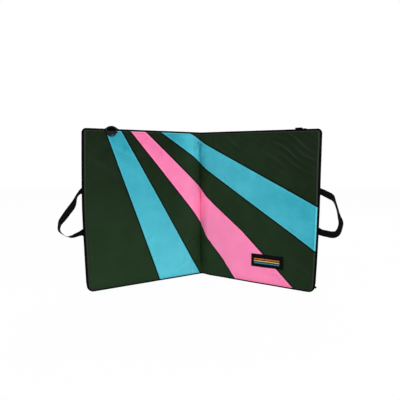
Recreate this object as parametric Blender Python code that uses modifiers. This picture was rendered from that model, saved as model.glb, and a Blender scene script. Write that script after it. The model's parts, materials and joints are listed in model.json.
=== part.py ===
"""Hinged bouldering crash pad, standing open like a book on its long edge.

Metres, +Z up along the fold. The landing sides face -Y, and the left half is at -X.
"""
import math

import bmesh
import bpy
from mathutils import Matrix, Vector

# Whole pad
PAD_HEIGHT = 0.914
HALF_ACROSS = 0.724
PAD_THICKNESS = 0.076
REST_TURN = math.radians(29.0)
HINGE_FRONT = 0.012
FOLD_GAP = 0.0035
OUTER_BOW = 0.008
TOP_CORNER = 0.022
BOTTOM_CORNER = 0.040
FOLD_CORNER = 0.009
FIT_GAP = 0.0003
SEAM_GAP = 0.0016
OVERRUN = 0.030

# Soft shape of the landing side
CROWN = 0.008
EDGE_DROP = 0.009
EDGE_ROLL = 0.024
FOLD_DROP = 0.026
FOLD_ROLL = 0.052

# Layers, from the landing side to the ground side
COVER_THICK = 0.001
TOP_FOAM_THICK = 0.030
BASE_FOAM_THICK = 0.009
GROUND_COVER_THICK = 0.0012
GUSSET_THICK = 0.0012
PIPING_RADIUS = 0.003

# Colour borders: where each crosses the top or bottom edge, as shares of the half's width, or the
# fold line or outer side, as shares of the pad's height
CYAN_WIDE_OUTER_TOP_share = 0.8301
CYAN_WIDE_OUTER_BOTTOM_share = 0.3964
CYAN_WIDE_INNER_TOP_share = 0.7099
CYAN_WIDE_INNER_BOTTOM_share = 0.0104
PINK_LOWER_TOP_share = 0.6436
PINK_LOWER_FOLD_share = 0.3906
PINK_UPPER_TOP_share = 0.5193
PINK_UPPER_FOLD_share = 0.6324
CYAN_SHORT_LOWER_TOP_share = 0.3936
CYAN_SHORT_LOWER_FOLD_share = 0.8129
CYAN_SHORT_UPPER_TOP_share = 0.0967
CYAN_SHORT_UPPER_FOLD_share = 0.9497
RIGHT_PINK_LOWER_FOLD_share = 0.3293
RIGHT_PINK_LOWER_BOTTOM_share = 0.3605
RIGHT_PINK_UPPER_FOLD_share = 0.6105
RIGHT_PINK_UPPER_BOTTOM_share = 0.8619
RIGHT_CYAN_LOWER_FOLD_share = 0.7801
RIGHT_CYAN_LOWER_OUTER_share = 0.2637
RIGHT_CYAN_UPPER_FOLD_share = 0.9354
RIGHT_CYAN_UPPER_OUTER_share = 0.5416

# Carry handles
WEBBING_WIDTH = 0.038
WEBBING_THICK = 0.0016
HANDLE_SPACING = 0.229
HANDLE_DEPTH = 0.018
HANDLE_ROOT_GAP = 0.00085
LEFT_HANDLE_REACH = 0.134
RIGHT_HANDLE_REACH = 0.121
HANDLE_ROOT_STRAIGHT = 0.032
HANDLE_STATIONS = 36

# Closure rings and their tabs
RING_WIRE = 0.0025
RING_WIDTH = 0.062
RING_HEIGHT = 0.046
RING_FROM_SIDE = 0.161
RING_CLEAR = 0.0020
TAB_WIDTH = 0.044
TAB_THICK = 0.0020
TAB_RISE = 0.018
TAB_SEWN = 0.040
RING_BAR_RISE = 0.006
LOWER_RING_FROM_SIDE = 0.124
LOWER_TAB_SEWN = 0.045
LOWER_RING_BAR_HEIGHT = 0.110

# Closure straps
STRAP_FROM_SIDE = 0.106
STRAP_HANG = 0.210
STRAP_TURN_RADIUS = 0.005
STRAP_FOLD_BACK = 0.030
ANCHOR_END = 0.012
HOOK_WIDTH = 0.050
HOOK_BAR = 0.005
HOOK_LENGTH = 0.058
HOOK_THICK = 0.004
HOOK_SLOT_HEIGHT = 0.008
HOOK_MOUTH = 0.009
HOOK_LIP = 0.006
LOWER_STRAP_FROM_SIDE = 0.084
LOWER_STRAP_RUN = 0.090
LOWER_STRAP_DROP = 0.060
LOWER_STRAP_SPLAY = math.radians(22.0)
LOWER_STRAP_RUN_shares = (0.25, 0.6, 1.0)

# Woven label
LABEL_WIDTH = 0.190
LABEL_HEIGHT = 0.070
LABEL_THICK = 0.0008
LABEL_FROM_SIDE = 0.279
LABEL_UP = 0.144

# Zips in the ground covers
ZIP_FROM_FOLD = 0.080
ZIP_LENGTH = 0.640
ZIP_WIDTH = 0.026
ZIP_TAPE = 0.0010
ZIP_TEETH_WIDTH = 0.005
ZIP_TEETH_RISE = 0.0018
SLIDER_WIDTH = 0.010
SLIDER_LENGTH = 0.014
SLIDER_RISE = 0.0048
PULL_WIDTH = 0.007
PULL_LENGTH = 0.030
PULL_THICK = 0.0016
SLIDER_FROM_END = 0.015

# Carrying harness on the right half
SHOULDER_WIDTH = 0.062
SHOULDER_DROP = 0.114
SHOULDER_LENGTH = 0.400
SHOULDER_THICK = 0.011
SHOULDER_FROM_SIDE = 0.354
SHOULDER_SPREAD = 0.065
SHOULDER_BULGE = 0.030
SHOULDER_ROUNDING = 0.004
SHOULDER_END_share = 0.8
SHOULDER_FULL_share = 0.65
LADDER_WIDTH = 0.038
LADDER_HEIGHT = 0.034
LADDER_THICK = 0.005
LADDER_SLOT = 0.006
THIN_WEBBING_WIDTH = 0.025
THIN_WEBBING_THICK = 0.0016
THIN_WEBBING_BOTTOM = 0.120

# Strip of cover at the bottom of the valley, creased back between the halves
WEB_CREASE = 0.010
WEB_END = 0.010
WEB_COLUMN_shares = (-1.0, -0.5, -0.12, 0.0, 0.12, 0.5, 1.0)

LANDING = HINGE_FRONT
GROUND = HINGE_FRONT + PAD_THICKNESS
RING_CENTRE = HALF_ACROSS - RING_FROM_SIDE
LOWER_RING_CENTRE = HALF_ACROSS - LOWER_RING_FROM_SIDE
STRAP_CENTRE = HALF_ACROSS - STRAP_FROM_SIDE
LOWER_STRAP_START = HALF_ACROSS - LOWER_STRAP_FROM_SIDE
LABEL_ACROSS = HALF_ACROSS - LABEL_FROM_SIDE
SHOULDER_ACROSS = HALF_ACROSS - SHOULDER_FROM_SIDE
SHOULDER_TOP = PAD_HEIGHT - SHOULDER_DROP
SHOULDER_BOTTOM = SHOULDER_TOP - SHOULDER_LENGTH
PIPING_INSET = PIPING_RADIUS + FIT_GAP
COVER_INSET = PIPING_INSET + PIPING_RADIUS + FIT_GAP
CORE_INSET = GUSSET_THICK + FIT_GAP
LEFT = -1
RIGHT = 1


def clear_scene():
    """Remove what the file holds, and make the two collections."""
    for old in list(bpy.data.objects):
        bpy.data.objects.remove(old, do_unlink=True)
    collections = []
    for name in ("crash_pad", "cutters"):
        collection = bpy.data.collections.new(name)
        bpy.context.scene.collection.children.link(collection)
        collections.append(collection)
    return collections


PARTS, CUTTERS = clear_scene()


def material(name, colour, roughness, metallic=0.0):
    made = bpy.data.materials.new(name)
    made.use_nodes = True
    shader = made.node_tree.nodes["Principled BSDF"]
    shader.inputs["Base Color"].default_value = (*colour, 1.0)
    shader.inputs["Roughness"].default_value = roughness
    shader.inputs["Metallic"].default_value = metallic
    return made


GREEN = material("forest_green_nylon", (0.014, 0.024, 0.013), 0.75)
CYAN = material("cyan_nylon", (0.070, 0.500, 0.630), 0.70)
PINK = material("pink_nylon", (0.960, 0.210, 0.460), 0.70)
BLACK = material("black_nylon", (0.004, 0.004, 0.004), 0.80)
WEBBING = material("black_webbing", (0.006, 0.006, 0.006), 0.85)
HARD_FOAM = material("closed_cell_foam", (0.060, 0.060, 0.065), 0.90)
SOFT_FOAM = material("open_cell_foam", (0.640, 0.560, 0.300), 0.95)
STEEL = material("blackened_steel", (0.050, 0.050, 0.050), 0.35, 1.0)
ACETAL = material("black_acetal", (0.010, 0.010, 0.010), 0.45)


def add_object(name, data, parent, finish, collection=PARTS):
    made = bpy.data.objects.new(name, data)
    collection.objects.link(made)
    made.parent = parent
    if finish is not None:
        made.data.materials.append(finish)
    return made


def add_empty(name, parent=None, location=(0.0, 0.0, 0.0), turn=0.0):
    made = bpy.data.objects.new(name, None)
    PARTS.objects.link(made)
    made.parent = parent
    made.location = location
    made.rotation_euler = (0.0, 0.0, turn)
    return made


def as_mesh(source, name):
    """Make a curve, or an object with modifiers, one plain closed mesh object."""
    bpy.context.view_layer.update()
    graph = bpy.context.evaluated_depsgraph_get()
    mesh = bpy.data.meshes.new_from_object(source.evaluated_get(graph))
    work = bmesh.new()
    work.from_mesh(mesh)
    bmesh.ops.remove_doubles(work, verts=work.verts, dist=FIT_GAP / 30)
    bmesh.ops.recalc_face_normals(work, faces=work.faces)
    work.to_mesh(mesh)
    work.free()
    collection = source.users_collection[0]
    source.name = name + "_source"
    made = bpy.data.objects.new(name, mesh)
    collection.objects.link(made)
    made.matrix_world = source.matrix_world
    bpy.data.objects.remove(source, do_unlink=True)
    return made


def prism(name, outline, side, low, high, collection=CUTTERS):
    """A flat outline of (across, up) points, extruded from depth low to depth high."""
    curve = bpy.data.curves.new(name, "CURVE")
    curve.dimensions = "2D"
    curve.fill_mode = "BOTH"
    curve.extrude = (high - low) / 2
    spline = curve.splines.new("POLY")
    spline.points.add(len(outline) - 1)
    for point, (across, up) in zip(spline.points, outline):
        point.co = (side * across, up, 0.0, 1.0)
    spline.use_cyclic_u = True
    flat = bpy.data.objects.new(name, curve)
    collection.objects.link(flat)
    flat.rotation_euler = (math.radians(90.0), 0.0, 0.0)
    flat.location = (0.0, (low + high) / 2, 0.0)
    made = as_mesh(flat, name)
    made.data.transform(made.matrix_world)
    made.matrix_world = Matrix.Identity(4)
    return made


def cut(piece, cutter, operation):
    """Add a live boolean, and keep its cutter out of renders."""
    cutter.hide_render = True
    cutter.display_type = "WIRE"
    cutter.parent = piece.parent
    step = piece.modifiers.new(operation.lower(), "BOOLEAN")
    step.operation = operation
    step.object = cutter


def outer_side(up):
    """Across position of the bowed outer side at a height."""
    middle = PAD_HEIGHT / 2
    return HALF_ACROSS - OUTER_BOW * ((up - middle) / middle) ** 2


def arc(centre, radius, start, steps):
    """A quarter circle of points, anticlockwise from the start angle in degrees."""
    points = []
    for step in range(steps + 1):
        angle = math.radians(start + 90.0 * step / steps)
        points.append((centre[0] + radius * math.cos(angle), centre[1] + radius * math.sin(angle)))
    return points


def outline_runs(inset, fold_inset=None, corner_steps=5, bow_steps=8):
    """The four runs of a half's outline: bottom, outer side, top and fold side."""
    fold = FOLD_GAP + (inset if fold_inset is None else fold_inset)
    top = PAD_HEIGHT - inset
    fold_corner = FOLD_CORNER - inset
    low_corner = BOTTOM_CORNER - inset
    high_corner = TOP_CORNER - inset
    low_side = outer_side(BOTTOM_CORNER) - inset
    high_side = outer_side(PAD_HEIGHT - TOP_CORNER) - inset
    outer = arc((low_side - low_corner, inset + low_corner), low_corner, -90.0, corner_steps)
    rise = top - high_corner - inset - low_corner
    for step in range(1, bow_steps):
        up = inset + low_corner + rise * step / bow_steps
        outer.append((outer_side(up) - inset, up))
    outer += arc((high_side - high_corner, top - high_corner), high_corner, 0.0, corner_steps)
    side = arc((fold + fold_corner, top - fold_corner), fold_corner, 90.0, 3)
    side += arc((fold + fold_corner, inset + fold_corner), fold_corner, 180.0, 3)
    bottom = [side[-1], outer[0]]
    high = [outer[-1], side[0]]
    return {"bottom": bottom, "outer": outer, "top": high, "fold": side}


def outline(inset, fold_inset=None):
    runs = outline_runs(inset, fold_inset)
    return runs["outer"] + runs["fold"]


def fall(distance, reach):
    """One at an edge, easing to nothing at the reach inside it."""
    share = min(max(distance / reach, 0.0), 1.0)
    return (1.0 - share) ** 2


def edge_distance(across, up):
    """Distance inside the rounded outline, leaving out its fold side."""
    from_outer = outer_side(min(max(up, BOTTOM_CORNER), PAD_HEIGHT - TOP_CORNER)) - across
    for radius, from_end in ((BOTTOM_CORNER, up), (TOP_CORNER, PAD_HEIGHT - up)):
        if from_end < radius and from_outer < radius:
            return radius - math.hypot(radius - from_end, radius - from_outer)
    return min(outer_side(up) - across, up, PAD_HEIGHT - up)


def landing_depth(across, up):
    """Depth of the cover's face: crowned, rolled at its edges and deep at the fold."""
    edge = edge_distance(across, up)
    drop = math.hypot(EDGE_DROP * fall(edge, EDGE_ROLL), FOLD_DROP * fall(across - FOLD_GAP, FOLD_ROLL))
    middle = (FOLD_GAP + HALF_ACROSS) / 2
    across_share = min(abs(across - middle) / (HALF_ACROSS - middle), 1.0)
    up_share = min(abs(2 * up / PAD_HEIGHT - 1), 1.0)
    return LANDING + drop - CROWN * (1 - across_share ** 2) * (1 - up_share ** 2)


def grid_mesh(columns, rows, place):
    """A sheet of quads, whose corners place(column value, row value) gives."""
    work = bmesh.new()
    bmesh.ops.create_grid(work, x_segments=len(columns) - 1, y_segments=len(rows) - 1, size=1.0)
    for vertex in work.verts:
        column = round((vertex.co.x + 1) / 2 * (len(columns) - 1))
        row = round((vertex.co.y + 1) / 2 * (len(rows) - 1))
        vertex.co = place(columns[column], rows[row])
    return work


def face_towards(work, direction):
    """Turn an open sheet's faces to one side."""
    bmesh.ops.recalc_face_normals(work, faces=work.faces)
    total = sum((face.normal * face.calc_area() for face in work.faces), Vector())
    if total.dot(Vector(direction)) < 0:
        bmesh.ops.reverse_faces(work, faces=work.faces)


def to_mesh(work, name):
    mesh = bpy.data.meshes.new(name)
    work.to_mesh(mesh)
    work.free()
    return mesh


FOLD_ROLL_shares = (0.0, 0.16, 0.36, 0.62, 1.0)
EDGE_ROLL_shares = (0.0, 0.25, 0.55, 1.0)
MIDDLE_COLUMNS = 6
MIDDLE_ROWS = 8


def landing_columns():
    columns = [FOLD_GAP - OVERRUN]
    columns += [FOLD_GAP + FOLD_ROLL * share for share in FOLD_ROLL_shares]
    inner = FOLD_GAP + FOLD_ROLL
    outer = HALF_ACROSS - OUTER_BOW - EDGE_ROLL
    columns += [inner + (outer - inner) * step / MIDDLE_COLUMNS for step in range(1, MIDDLE_COLUMNS)]
    columns += [outer + (EDGE_ROLL + OUTER_BOW) * share for share in EDGE_ROLL_shares]
    return columns + [HALF_ACROSS + OVERRUN]


def landing_rows():
    low = [EDGE_ROLL * share for share in EDGE_ROLL_shares]
    middle = PAD_HEIGHT - 2 * EDGE_ROLL
    between = [EDGE_ROLL + middle * step / MIDDLE_ROWS for step in range(1, MIDDLE_ROWS)]
    high = [PAD_HEIGHT - up for up in reversed(low)]
    return [-OVERRUN] + low + between + high + [PAD_HEIGHT + OVERRUN]


def landing_slab(name, side, shift, back=None):
    """A layer that follows the landing face: shift behind it, to a depth or a thickness."""
    def place(across, up):
        return Vector((side * across, landing_depth(across, up) + shift, up))

    work = grid_mesh(landing_columns(), landing_rows(), place)
    bmesh.ops.triangulate(work, faces=work.faces[:], quad_method="FIXED")
    front = work.faces[:]
    made = bmesh.ops.extrude_face_region(work, geom=front, use_keep_orig=True)
    for element in made["geom"]:
        if isinstance(element, bmesh.types.BMVert):
            element.co.y = back if back is not None else element.co.y + COVER_THICK
    bmesh.ops.recalc_face_normals(work, faces=work.faces)
    return to_mesh(work, name)


def border(start, end):
    """A colour border as a point on it and the direction square to it, to its left."""
    run = Vector((end[0] - start[0], end[1] - start[1]))
    return start, Vector((-run.y, run.x)).normalized()


def on_edge(share, up):
    """A point on the top or bottom edge, at a share of the half's width."""
    return share * HALF_ACROSS, up


def on_fold(share):
    """A point on the fold line, at a share of the pad's height."""
    return 0.0, share * PAD_HEIGHT


def on_side(share):
    """A point on the outer side, at a share of the pad's height."""
    return HALF_ACROSS, share * PAD_HEIGHT


LEFT_BORDERS = (
    border(on_edge(CYAN_WIDE_OUTER_TOP_share, PAD_HEIGHT), on_edge(CYAN_WIDE_OUTER_BOTTOM_share, 0.0)),
    border(on_edge(CYAN_WIDE_INNER_TOP_share, PAD_HEIGHT), on_edge(CYAN_WIDE_INNER_BOTTOM_share, 0.0)),
    border(on_edge(PINK_LOWER_TOP_share, PAD_HEIGHT), on_fold(PINK_LOWER_FOLD_share)),
    border(on_edge(PINK_UPPER_TOP_share, PAD_HEIGHT), on_fold(PINK_UPPER_FOLD_share)),
    border(on_edge(CYAN_SHORT_LOWER_TOP_share, PAD_HEIGHT), on_fold(CYAN_SHORT_LOWER_FOLD_share)),
    border(on_edge(CYAN_SHORT_UPPER_TOP_share, PAD_HEIGHT), on_fold(CYAN_SHORT_UPPER_FOLD_share)),
)
LEFT_PANELS = (
    ("outer_green", GREEN), ("wide_cyan", CYAN), ("lower_green", GREEN), ("pink", PINK),
    ("upper_green", GREEN), ("short_cyan", CYAN), ("corner_green", GREEN),
)
RIGHT_BORDERS = (
    border(on_edge(RIGHT_PINK_LOWER_BOTTOM_share, 0.0), on_fold(RIGHT_PINK_LOWER_FOLD_share)),
    border(on_edge(RIGHT_PINK_UPPER_BOTTOM_share, 0.0), on_fold(RIGHT_PINK_UPPER_FOLD_share)),
    border(on_side(RIGHT_CYAN_LOWER_OUTER_share), on_fold(RIGHT_CYAN_LOWER_FOLD_share)),
    border(on_side(RIGHT_CYAN_UPPER_OUTER_share), on_fold(RIGHT_CYAN_UPPER_FOLD_share)),
)
RIGHT_PANELS = (
    ("fold_green", GREEN), ("pink", PINK), ("middle_green", GREEN), ("cyan", CYAN),
    ("upper_green", GREEN),
)


def trim(work, side, edge, keep):
    """Cut a closed body along a border, and keep its left (1) or right (-1) part."""
    start, normal = edge
    away = Vector((side * normal.x, 0.0, normal.y)) * keep
    point = Vector((side * start[0], 0.0, start[1])) + away * FIT_GAP / 2
    bmesh.ops.bisect_plane(work, geom=work.verts[:] + work.edges[:] + work.faces[:], dist=FIT_GAP / 300,
                           plane_co=point, plane_no=away, clear_inner=True)
    open_edges = [line for line in work.edges if line.is_boundary]
    bmesh.ops.holes_fill(work, edges=open_edges, sides=0)
    bmesh.ops.recalc_face_normals(work, faces=work.faces)


def landing_cover(side_name, side, body, panels, borders):
    """The landing cover, cut into its sewn panels along the colour borders."""
    whole = add_object("cover_blank", landing_slab("cover_blank", side, 0.0), None, None, CUTTERS)
    edge = prism("cover_outline", outline(COVER_INSET, 0.0), side, -OVERRUN, GROUND)
    cut(whole, edge, "INTERSECT")
    whole = as_mesh(whole, "cover_blank")
    for index, (label, finish) in enumerate(panels):
        work = bmesh.new()
        work.from_mesh(whole.data)
        if index > 0:
            trim(work, side, borders[index - 1], panel_keep(side, borders[index - 1], True))
        if index < len(borders):
            trim(work, side, borders[index], panel_keep(side, borders[index], False))
        name = f"{side_name}_cover_{label}"
        add_object(name, to_mesh(work, name), body, finish)
    bpy.data.objects.remove(whole, do_unlink=True)
    bpy.data.objects.remove(edge, do_unlink=True)


def panel_keep(side, edge, beyond):
    """Which part of a border is beyond it: later borders lie nearer the upper fold or top."""
    start, normal = edge
    first = (HALF_ACROSS, 0.0) if side == LEFT else (0.0, 0.0)
    towards_first = normal.x * (first[0] - start[0]) + normal.y * (first[1] - start[1])
    keep = -1 if towards_first > 0 else 1
    return keep if beyond else -keep


def foams(side_name, side, body):
    """The three foam layers of one half."""
    top_back = LANDING + COVER_THICK + FIT_GAP + TOP_FOAM_THICK
    base_back = GROUND - GROUND_COVER_THICK - FIT_GAP
    base_front = base_back - BASE_FOAM_THICK
    name = f"{side_name}_landing_foam"
    blank = landing_slab(name, side, COVER_THICK + FIT_GAP, top_back)
    top = add_object(name, blank, body, HARD_FOAM)
    cut(top, prism(f"{name}_outline", outline(COVER_INSET, CORE_INSET), side, -OVERRUN, GROUND), "INTERSECT")
    core = prism(f"{side_name}_core_foam", outline(CORE_INSET), side, top_back + FIT_GAP,
                 base_front - FIT_GAP, PARTS)
    base = prism(f"{side_name}_base_foam", outline(COVER_INSET), side, base_front, base_back, PARTS)
    for layer, finish in ((core, SOFT_FOAM), (base, HARD_FOAM)):
        layer.parent = body
        layer.data.materials.append(finish)


def ground_cover(side_name, side, body):
    """The ground cover, with a slot for the zip."""
    cover = prism(f"{side_name}_ground_cover", outline(COVER_INSET), side, GROUND - GROUND_COVER_THICK,
                  GROUND, PARTS)
    cover.parent = body
    cover.data.materials.append(BLACK)
    half_slot = ZIP_WIDTH / 2 + FIT_GAP
    low = zip_low() - FIT_GAP
    high = zip_low() + ZIP_LENGTH + FIT_GAP
    slot = [(ZIP_FROM_FOLD - half_slot, low), (ZIP_FROM_FOLD + half_slot, low),
            (ZIP_FROM_FOLD + half_slot, high), (ZIP_FROM_FOLD - half_slot, high)]
    cut(cover, prism(f"{side_name}_zip_slot", slot, side, LANDING, GROUND + OVERRUN), "DIFFERENCE")


def zip_low():
    return (PAD_HEIGHT - ZIP_LENGTH) / 2


def gusset(name, side, body, points, inward):
    """A strip of cover fabric along part of the outline, between the two pipings."""
    def place(index, share):
        across, up = points[index]
        front = landing_depth(across, up) + 2 * PIPING_RADIUS + FIT_GAP
        if name.endswith("fold"):
            front = landing_depth(across, up) + COVER_THICK + FIT_GAP
        back = GROUND - 2 * PIPING_RADIUS - 2 * FIT_GAP
        return Vector((side * across, front + (back - front) * share, up))

    work = grid_mesh(list(range(len(points))), [0.0, 1.0], place)
    face_towards(work, (-inward[0] * side, 0.0, -inward[1]))
    strip = add_object(name, to_mesh(work, name), body, BLACK)
    wall = strip.modifiers.new("fabric", "SOLIDIFY")
    wall.thickness = GUSSET_THICK
    wall.offset = -1.0
    wall.use_even_offset = True


def shortened(points, amount):
    """A run of points, drawn back by an amount at each end."""
    first, second = Vector(points[0]), Vector(points[1])
    last, before = Vector(points[-1]), Vector(points[-2])
    start = first + (second - first).normalized() * amount
    end = last + (before - last).normalized() * amount
    return [tuple(start)] + list(points[1:-1]) + [tuple(end)]


def divided(points, stops):
    """A straight run with extra points at shares of it."""
    start, end = Vector(points[0]), Vector(points[-1])
    return [tuple(start.lerp(end, stop)) for stop in stops]


def gussets(side_name, side, body):
    runs = outline_runs(0.0)
    roll_share = FOLD_ROLL / (HALF_ACROSS - FOLD_GAP)
    near_fold = [share * roll_share for share in FOLD_ROLL_shares]
    from_fold = near_fold + [1.0]
    to_fold = [1.0 - share for share in reversed(from_fold)]
    bottom = shortened(divided(runs["bottom"], from_fold), SEAM_GAP / 2)
    top = shortened(divided(runs["top"], to_fold), SEAM_GAP / 2)
    gusset(f"{side_name}_gusset_bottom", side, body, bottom, (0.0, 1.0))
    gusset(f"{side_name}_gusset_outer", side, body, shortened(runs["outer"], SEAM_GAP / 2), (-1.0, 0.0))
    gusset(f"{side_name}_gusset_top", side, body, top, (0.0, -1.0))
    gusset(f"{side_name}_gusset_fold", side, body, shortened(runs["fold"], SEAM_GAP / 2), (1.0, 0.0))


def tube(name, points, radius, body, finish, closed=False, resolution=2):
    curve = bpy.data.curves.new(name, "CURVE")
    curve.dimensions = "3D"
    curve.bevel_depth = radius
    curve.bevel_resolution = resolution
    curve.use_fill_caps = True
    spline = curve.splines.new("POLY")
    spline.points.add(len(points) - 1)
    for point, place in zip(spline.points, points):
        point.co = (*place, 1.0)
    spline.use_cyclic_u = closed
    return add_object(name, curve, body, finish)


def landing_edge(inset):
    """The outline from the fold along the bottom, round the outer side and back along the top."""
    runs = outline_runs(inset)
    start = FOLD_GAP + FOLD_CORNER + SEAM_GAP
    reach = runs["outer"][0][0] - start
    near_fold = [max(FOLD_GAP + FOLD_ROLL * share - start, 0.0) / reach for share in FOLD_ROLL_shares[1:]]
    stops = [0.0] + [stop for stop in near_fold if stop > 0]
    low = divided([(start, inset), runs["outer"][0]], stops)
    reach = runs["outer"][-1][0] - start
    top = PAD_HEIGHT - inset
    high = divided([runs["outer"][-1], (start, top)], [1.0 - stop for stop in reversed(stops)])
    return low + runs["outer"] + high


def piping(side_name, side, body):
    """The bead round the landing side, open at the fold, and the one round the ground side."""
    front = []
    for (across, up), edge in zip(landing_edge(PIPING_INSET), landing_edge(0.0)):
        front.append((side * across, landing_depth(*edge) + PIPING_RADIUS, up))
    tube(f"{side_name}_front_piping", front, PIPING_RADIUS, body, BLACK)
    runs = outline_runs(PIPING_INSET)
    depth = GROUND - PIPING_RADIUS - FIT_GAP
    back = [(side * across, depth, up) for across, up in runs["outer"] + runs["fold"]]
    tube(f"{side_name}_back_piping", back, PIPING_RADIUS, body, BLACK, closed=True)


# Handle paths, as read from the photograph: out from the seam, up from the middle, turn of the
# webbing in degrees, where 0 shows its full width
LEFT_HANDLE_shares = (
    (0.00, 0.50, 0), (0.24, 0.43, 40), (0.32, 0.34, 86), (0.43, 0.22, 60), (0.55, 0.11, 50),
    (0.78, -0.06, 45), (0.94, -0.20, 58), (1.00, -0.33, 84), (0.92, -0.45, 88), (0.77, -0.52, 86),
    (0.49, -0.55, 42), (0.23, -0.51, 40), (0.00, -0.50, 0),
)
RIGHT_HANDLE_shares = (
    (0.00, 0.50, 0), (0.21, 0.45, 10), (0.47, 0.41, 20), (0.63, 0.33, 68), (0.71, 0.26, 88),
    (0.81, 0.12, 90), (0.90, -0.02, 86), (0.97, -0.14, 74), (1.00, -0.26, 55), (0.94, -0.38, 40),
    (0.81, -0.49, 25), (0.58, -0.53, 10), (0.29, -0.52, 5), (0.00, -0.50, 0),
)


def smooth_row(rows, position):
    """A Catmull-Rom value between table rows."""
    index = min(int(position), len(rows) - 2)
    share = position - index
    before = rows[max(index - 1, 0)]
    after = rows[min(index + 2, len(rows) - 1)]
    values = []
    for a, b, c, d in zip(before, rows[index], rows[index + 1], after):
        square = share * share
        value = 2 * b + (c - a) * share + (2 * a - 5 * b + 4 * c - d) * square
        values.append((value + (3 * b - a - 3 * c + d) * square * share) / 2)
    return values


def ribbon(name, stations, width, thickness, body, finish):
    """Webbing through (centre, width direction) stations."""
    def place(index, across):
        centre, direction = stations[index]
        return centre + direction * width * across

    work = grid_mesh(list(range(len(stations))), [-0.5, 0.5], place)
    strip = add_object(name, to_mesh(work, name), body, finish)
    solid = strip.modifiers.new("webbing", "SOLIDIFY")
    solid.thickness = thickness
    solid.offset = 0.0
    solid.use_even_offset = True
    return strip


def handle(side_name, side, body, rows, reach):
    """A carry handle; its empty stands on the seam line that it swings about."""
    depth = LANDING + EDGE_DROP + HANDLE_DEPTH
    root = outer_side((PAD_HEIGHT + HANDLE_SPACING - WEBBING_WIDTH) / 2) + HANDLE_ROOT_GAP
    pivot = add_empty(f"{side_name}_handle_pivot", body, (side * root, depth, PAD_HEIGHT / 2))
    places = []
    for step in range(HANDLE_STATIONS + 1):
        out, up, turn = smooth_row(rows, (len(rows) - 1) * step / HANDLE_STATIONS)
        places.append((Vector((out * reach, up * HANDLE_SPACING)), math.radians(turn)))
    stations = []
    for index, (centre, turn) in enumerate(places):
        ahead = places[min(index + 1, HANDLE_STATIONS)][0]
        behind = places[max(index - 1, 0)][0]
        outward = Vector((1.0 if index < HANDLE_STATIONS / 2 else -1.0, 0.0))
        free = min(max(centre.x, 0.0) / HANDLE_ROOT_STRAIGHT, 1.0)
        run = outward.lerp((ahead - behind).normalized(), free).normalized()
        square = Vector((-run.y, run.x))
        direction = Vector((side * square.x * math.cos(turn), math.sin(turn), square.y * math.cos(turn)))
        stations.append((Vector((side * centre.x, 0.0, centre.y)), direction))
    ribbon(f"{side_name}_handle", stations, WEBBING_WIDTH, WEBBING_THICK, pivot, WEBBING)


def ring_points():
    """A D shape in (across, up), with its straight bar at zero height."""
    half = RING_WIDTH / 2 - RING_WIRE
    drop = RING_HEIGHT - 2 * RING_WIRE
    corner = RING_WIRE * 2
    points = [(-half + corner, 0.0), (half - corner, 0.0), (half, -corner)]
    steps = 10
    for step in range(1, steps):
        angle = math.pi * step / steps
        points.append((half * math.cos(angle), -corner - (drop - corner) * math.sin(angle)))
    return points + [(-half, -corner)]


def ring(name, side, body, across, depth, bar_height):
    pivot = add_empty(f"{name}_pivot", body, (side * across, depth, bar_height))
    points = [(out, 0.0, up) for out, up in ring_points()]
    tube(name, points, RING_WIRE, pivot, STEEL, closed=True)


def folded_tab(name, side, body, across, path, finish=WEBBING):
    """A band of webbing whose (depth, height) path runs out round a ring's bar and back."""
    stations = [(Vector((side * across, depth, up)), Vector((1.0, 0.0, 0.0))) for depth, up in path]
    ribbon(name, stations, TAB_WIDTH, TAB_THICK, body, finish)


def bar_wrap(depth, height, start, end, steps=6):
    """Points round a ring's bar, from one angle to another in degrees."""
    radius = RING_WIRE + FIT_GAP + TAB_THICK / 2
    points = []
    for step in range(steps + 1):
        angle = math.radians(start + (end - start) * step / steps)
        points.append((depth + radius * math.cos(angle), height + radius * math.sin(angle)))
    return points


def closure_rings(body):
    """The upper ring over the landing side, and the lower one on the ground side."""
    depth = LANDING - RING_WIRE - RING_CLEAR
    height = PAD_HEIGHT + RING_BAR_RISE
    layer = TAB_THICK + FIT_GAP
    seat = PAD_HEIGHT + FIT_GAP + TAB_THICK / 2
    sewn = LANDING + EDGE_DROP + 2 * PIPING_RADIUS
    path = [(sewn + TAB_SEWN, seat), (sewn, seat)]
    path += bar_wrap(depth, height, -60.0, -240.0)
    path += [(depth + RING_WIRE, height + TAB_RISE / 2), (depth + TAB_RISE / 2, height + TAB_RISE - layer)]
    path += [(sewn, seat + layer + TAB_RISE / 3), (sewn + TAB_SEWN / 3, seat + layer)]
    path += [(sewn + TAB_SEWN, seat + layer)]
    folded_tab("upper_ring_tab", LEFT, body, RING_CENTRE, path)
    ring("upper_ring", LEFT, body, RING_CENTRE, depth, height)

    depth = GROUND + layer + FIT_GAP + RING_WIRE
    height = LOWER_RING_BAR_HEIGHT
    seat = GROUND + FIT_GAP + TAB_THICK / 2
    path = [(seat, height + LOWER_TAB_SEWN), (seat, height + RING_WIRE)]
    path += bar_wrap(depth, height, -150.0, 30.0)
    path += [(seat + layer, height + LOWER_TAB_SEWN / 2), (seat + layer, height + LOWER_TAB_SEWN)]
    folded_tab("lower_ring_tab", LEFT, body, LOWER_RING_CENTRE, path)
    ring("lower_ring", LEFT, body, LOWER_RING_CENTRE, depth, height)


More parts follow.
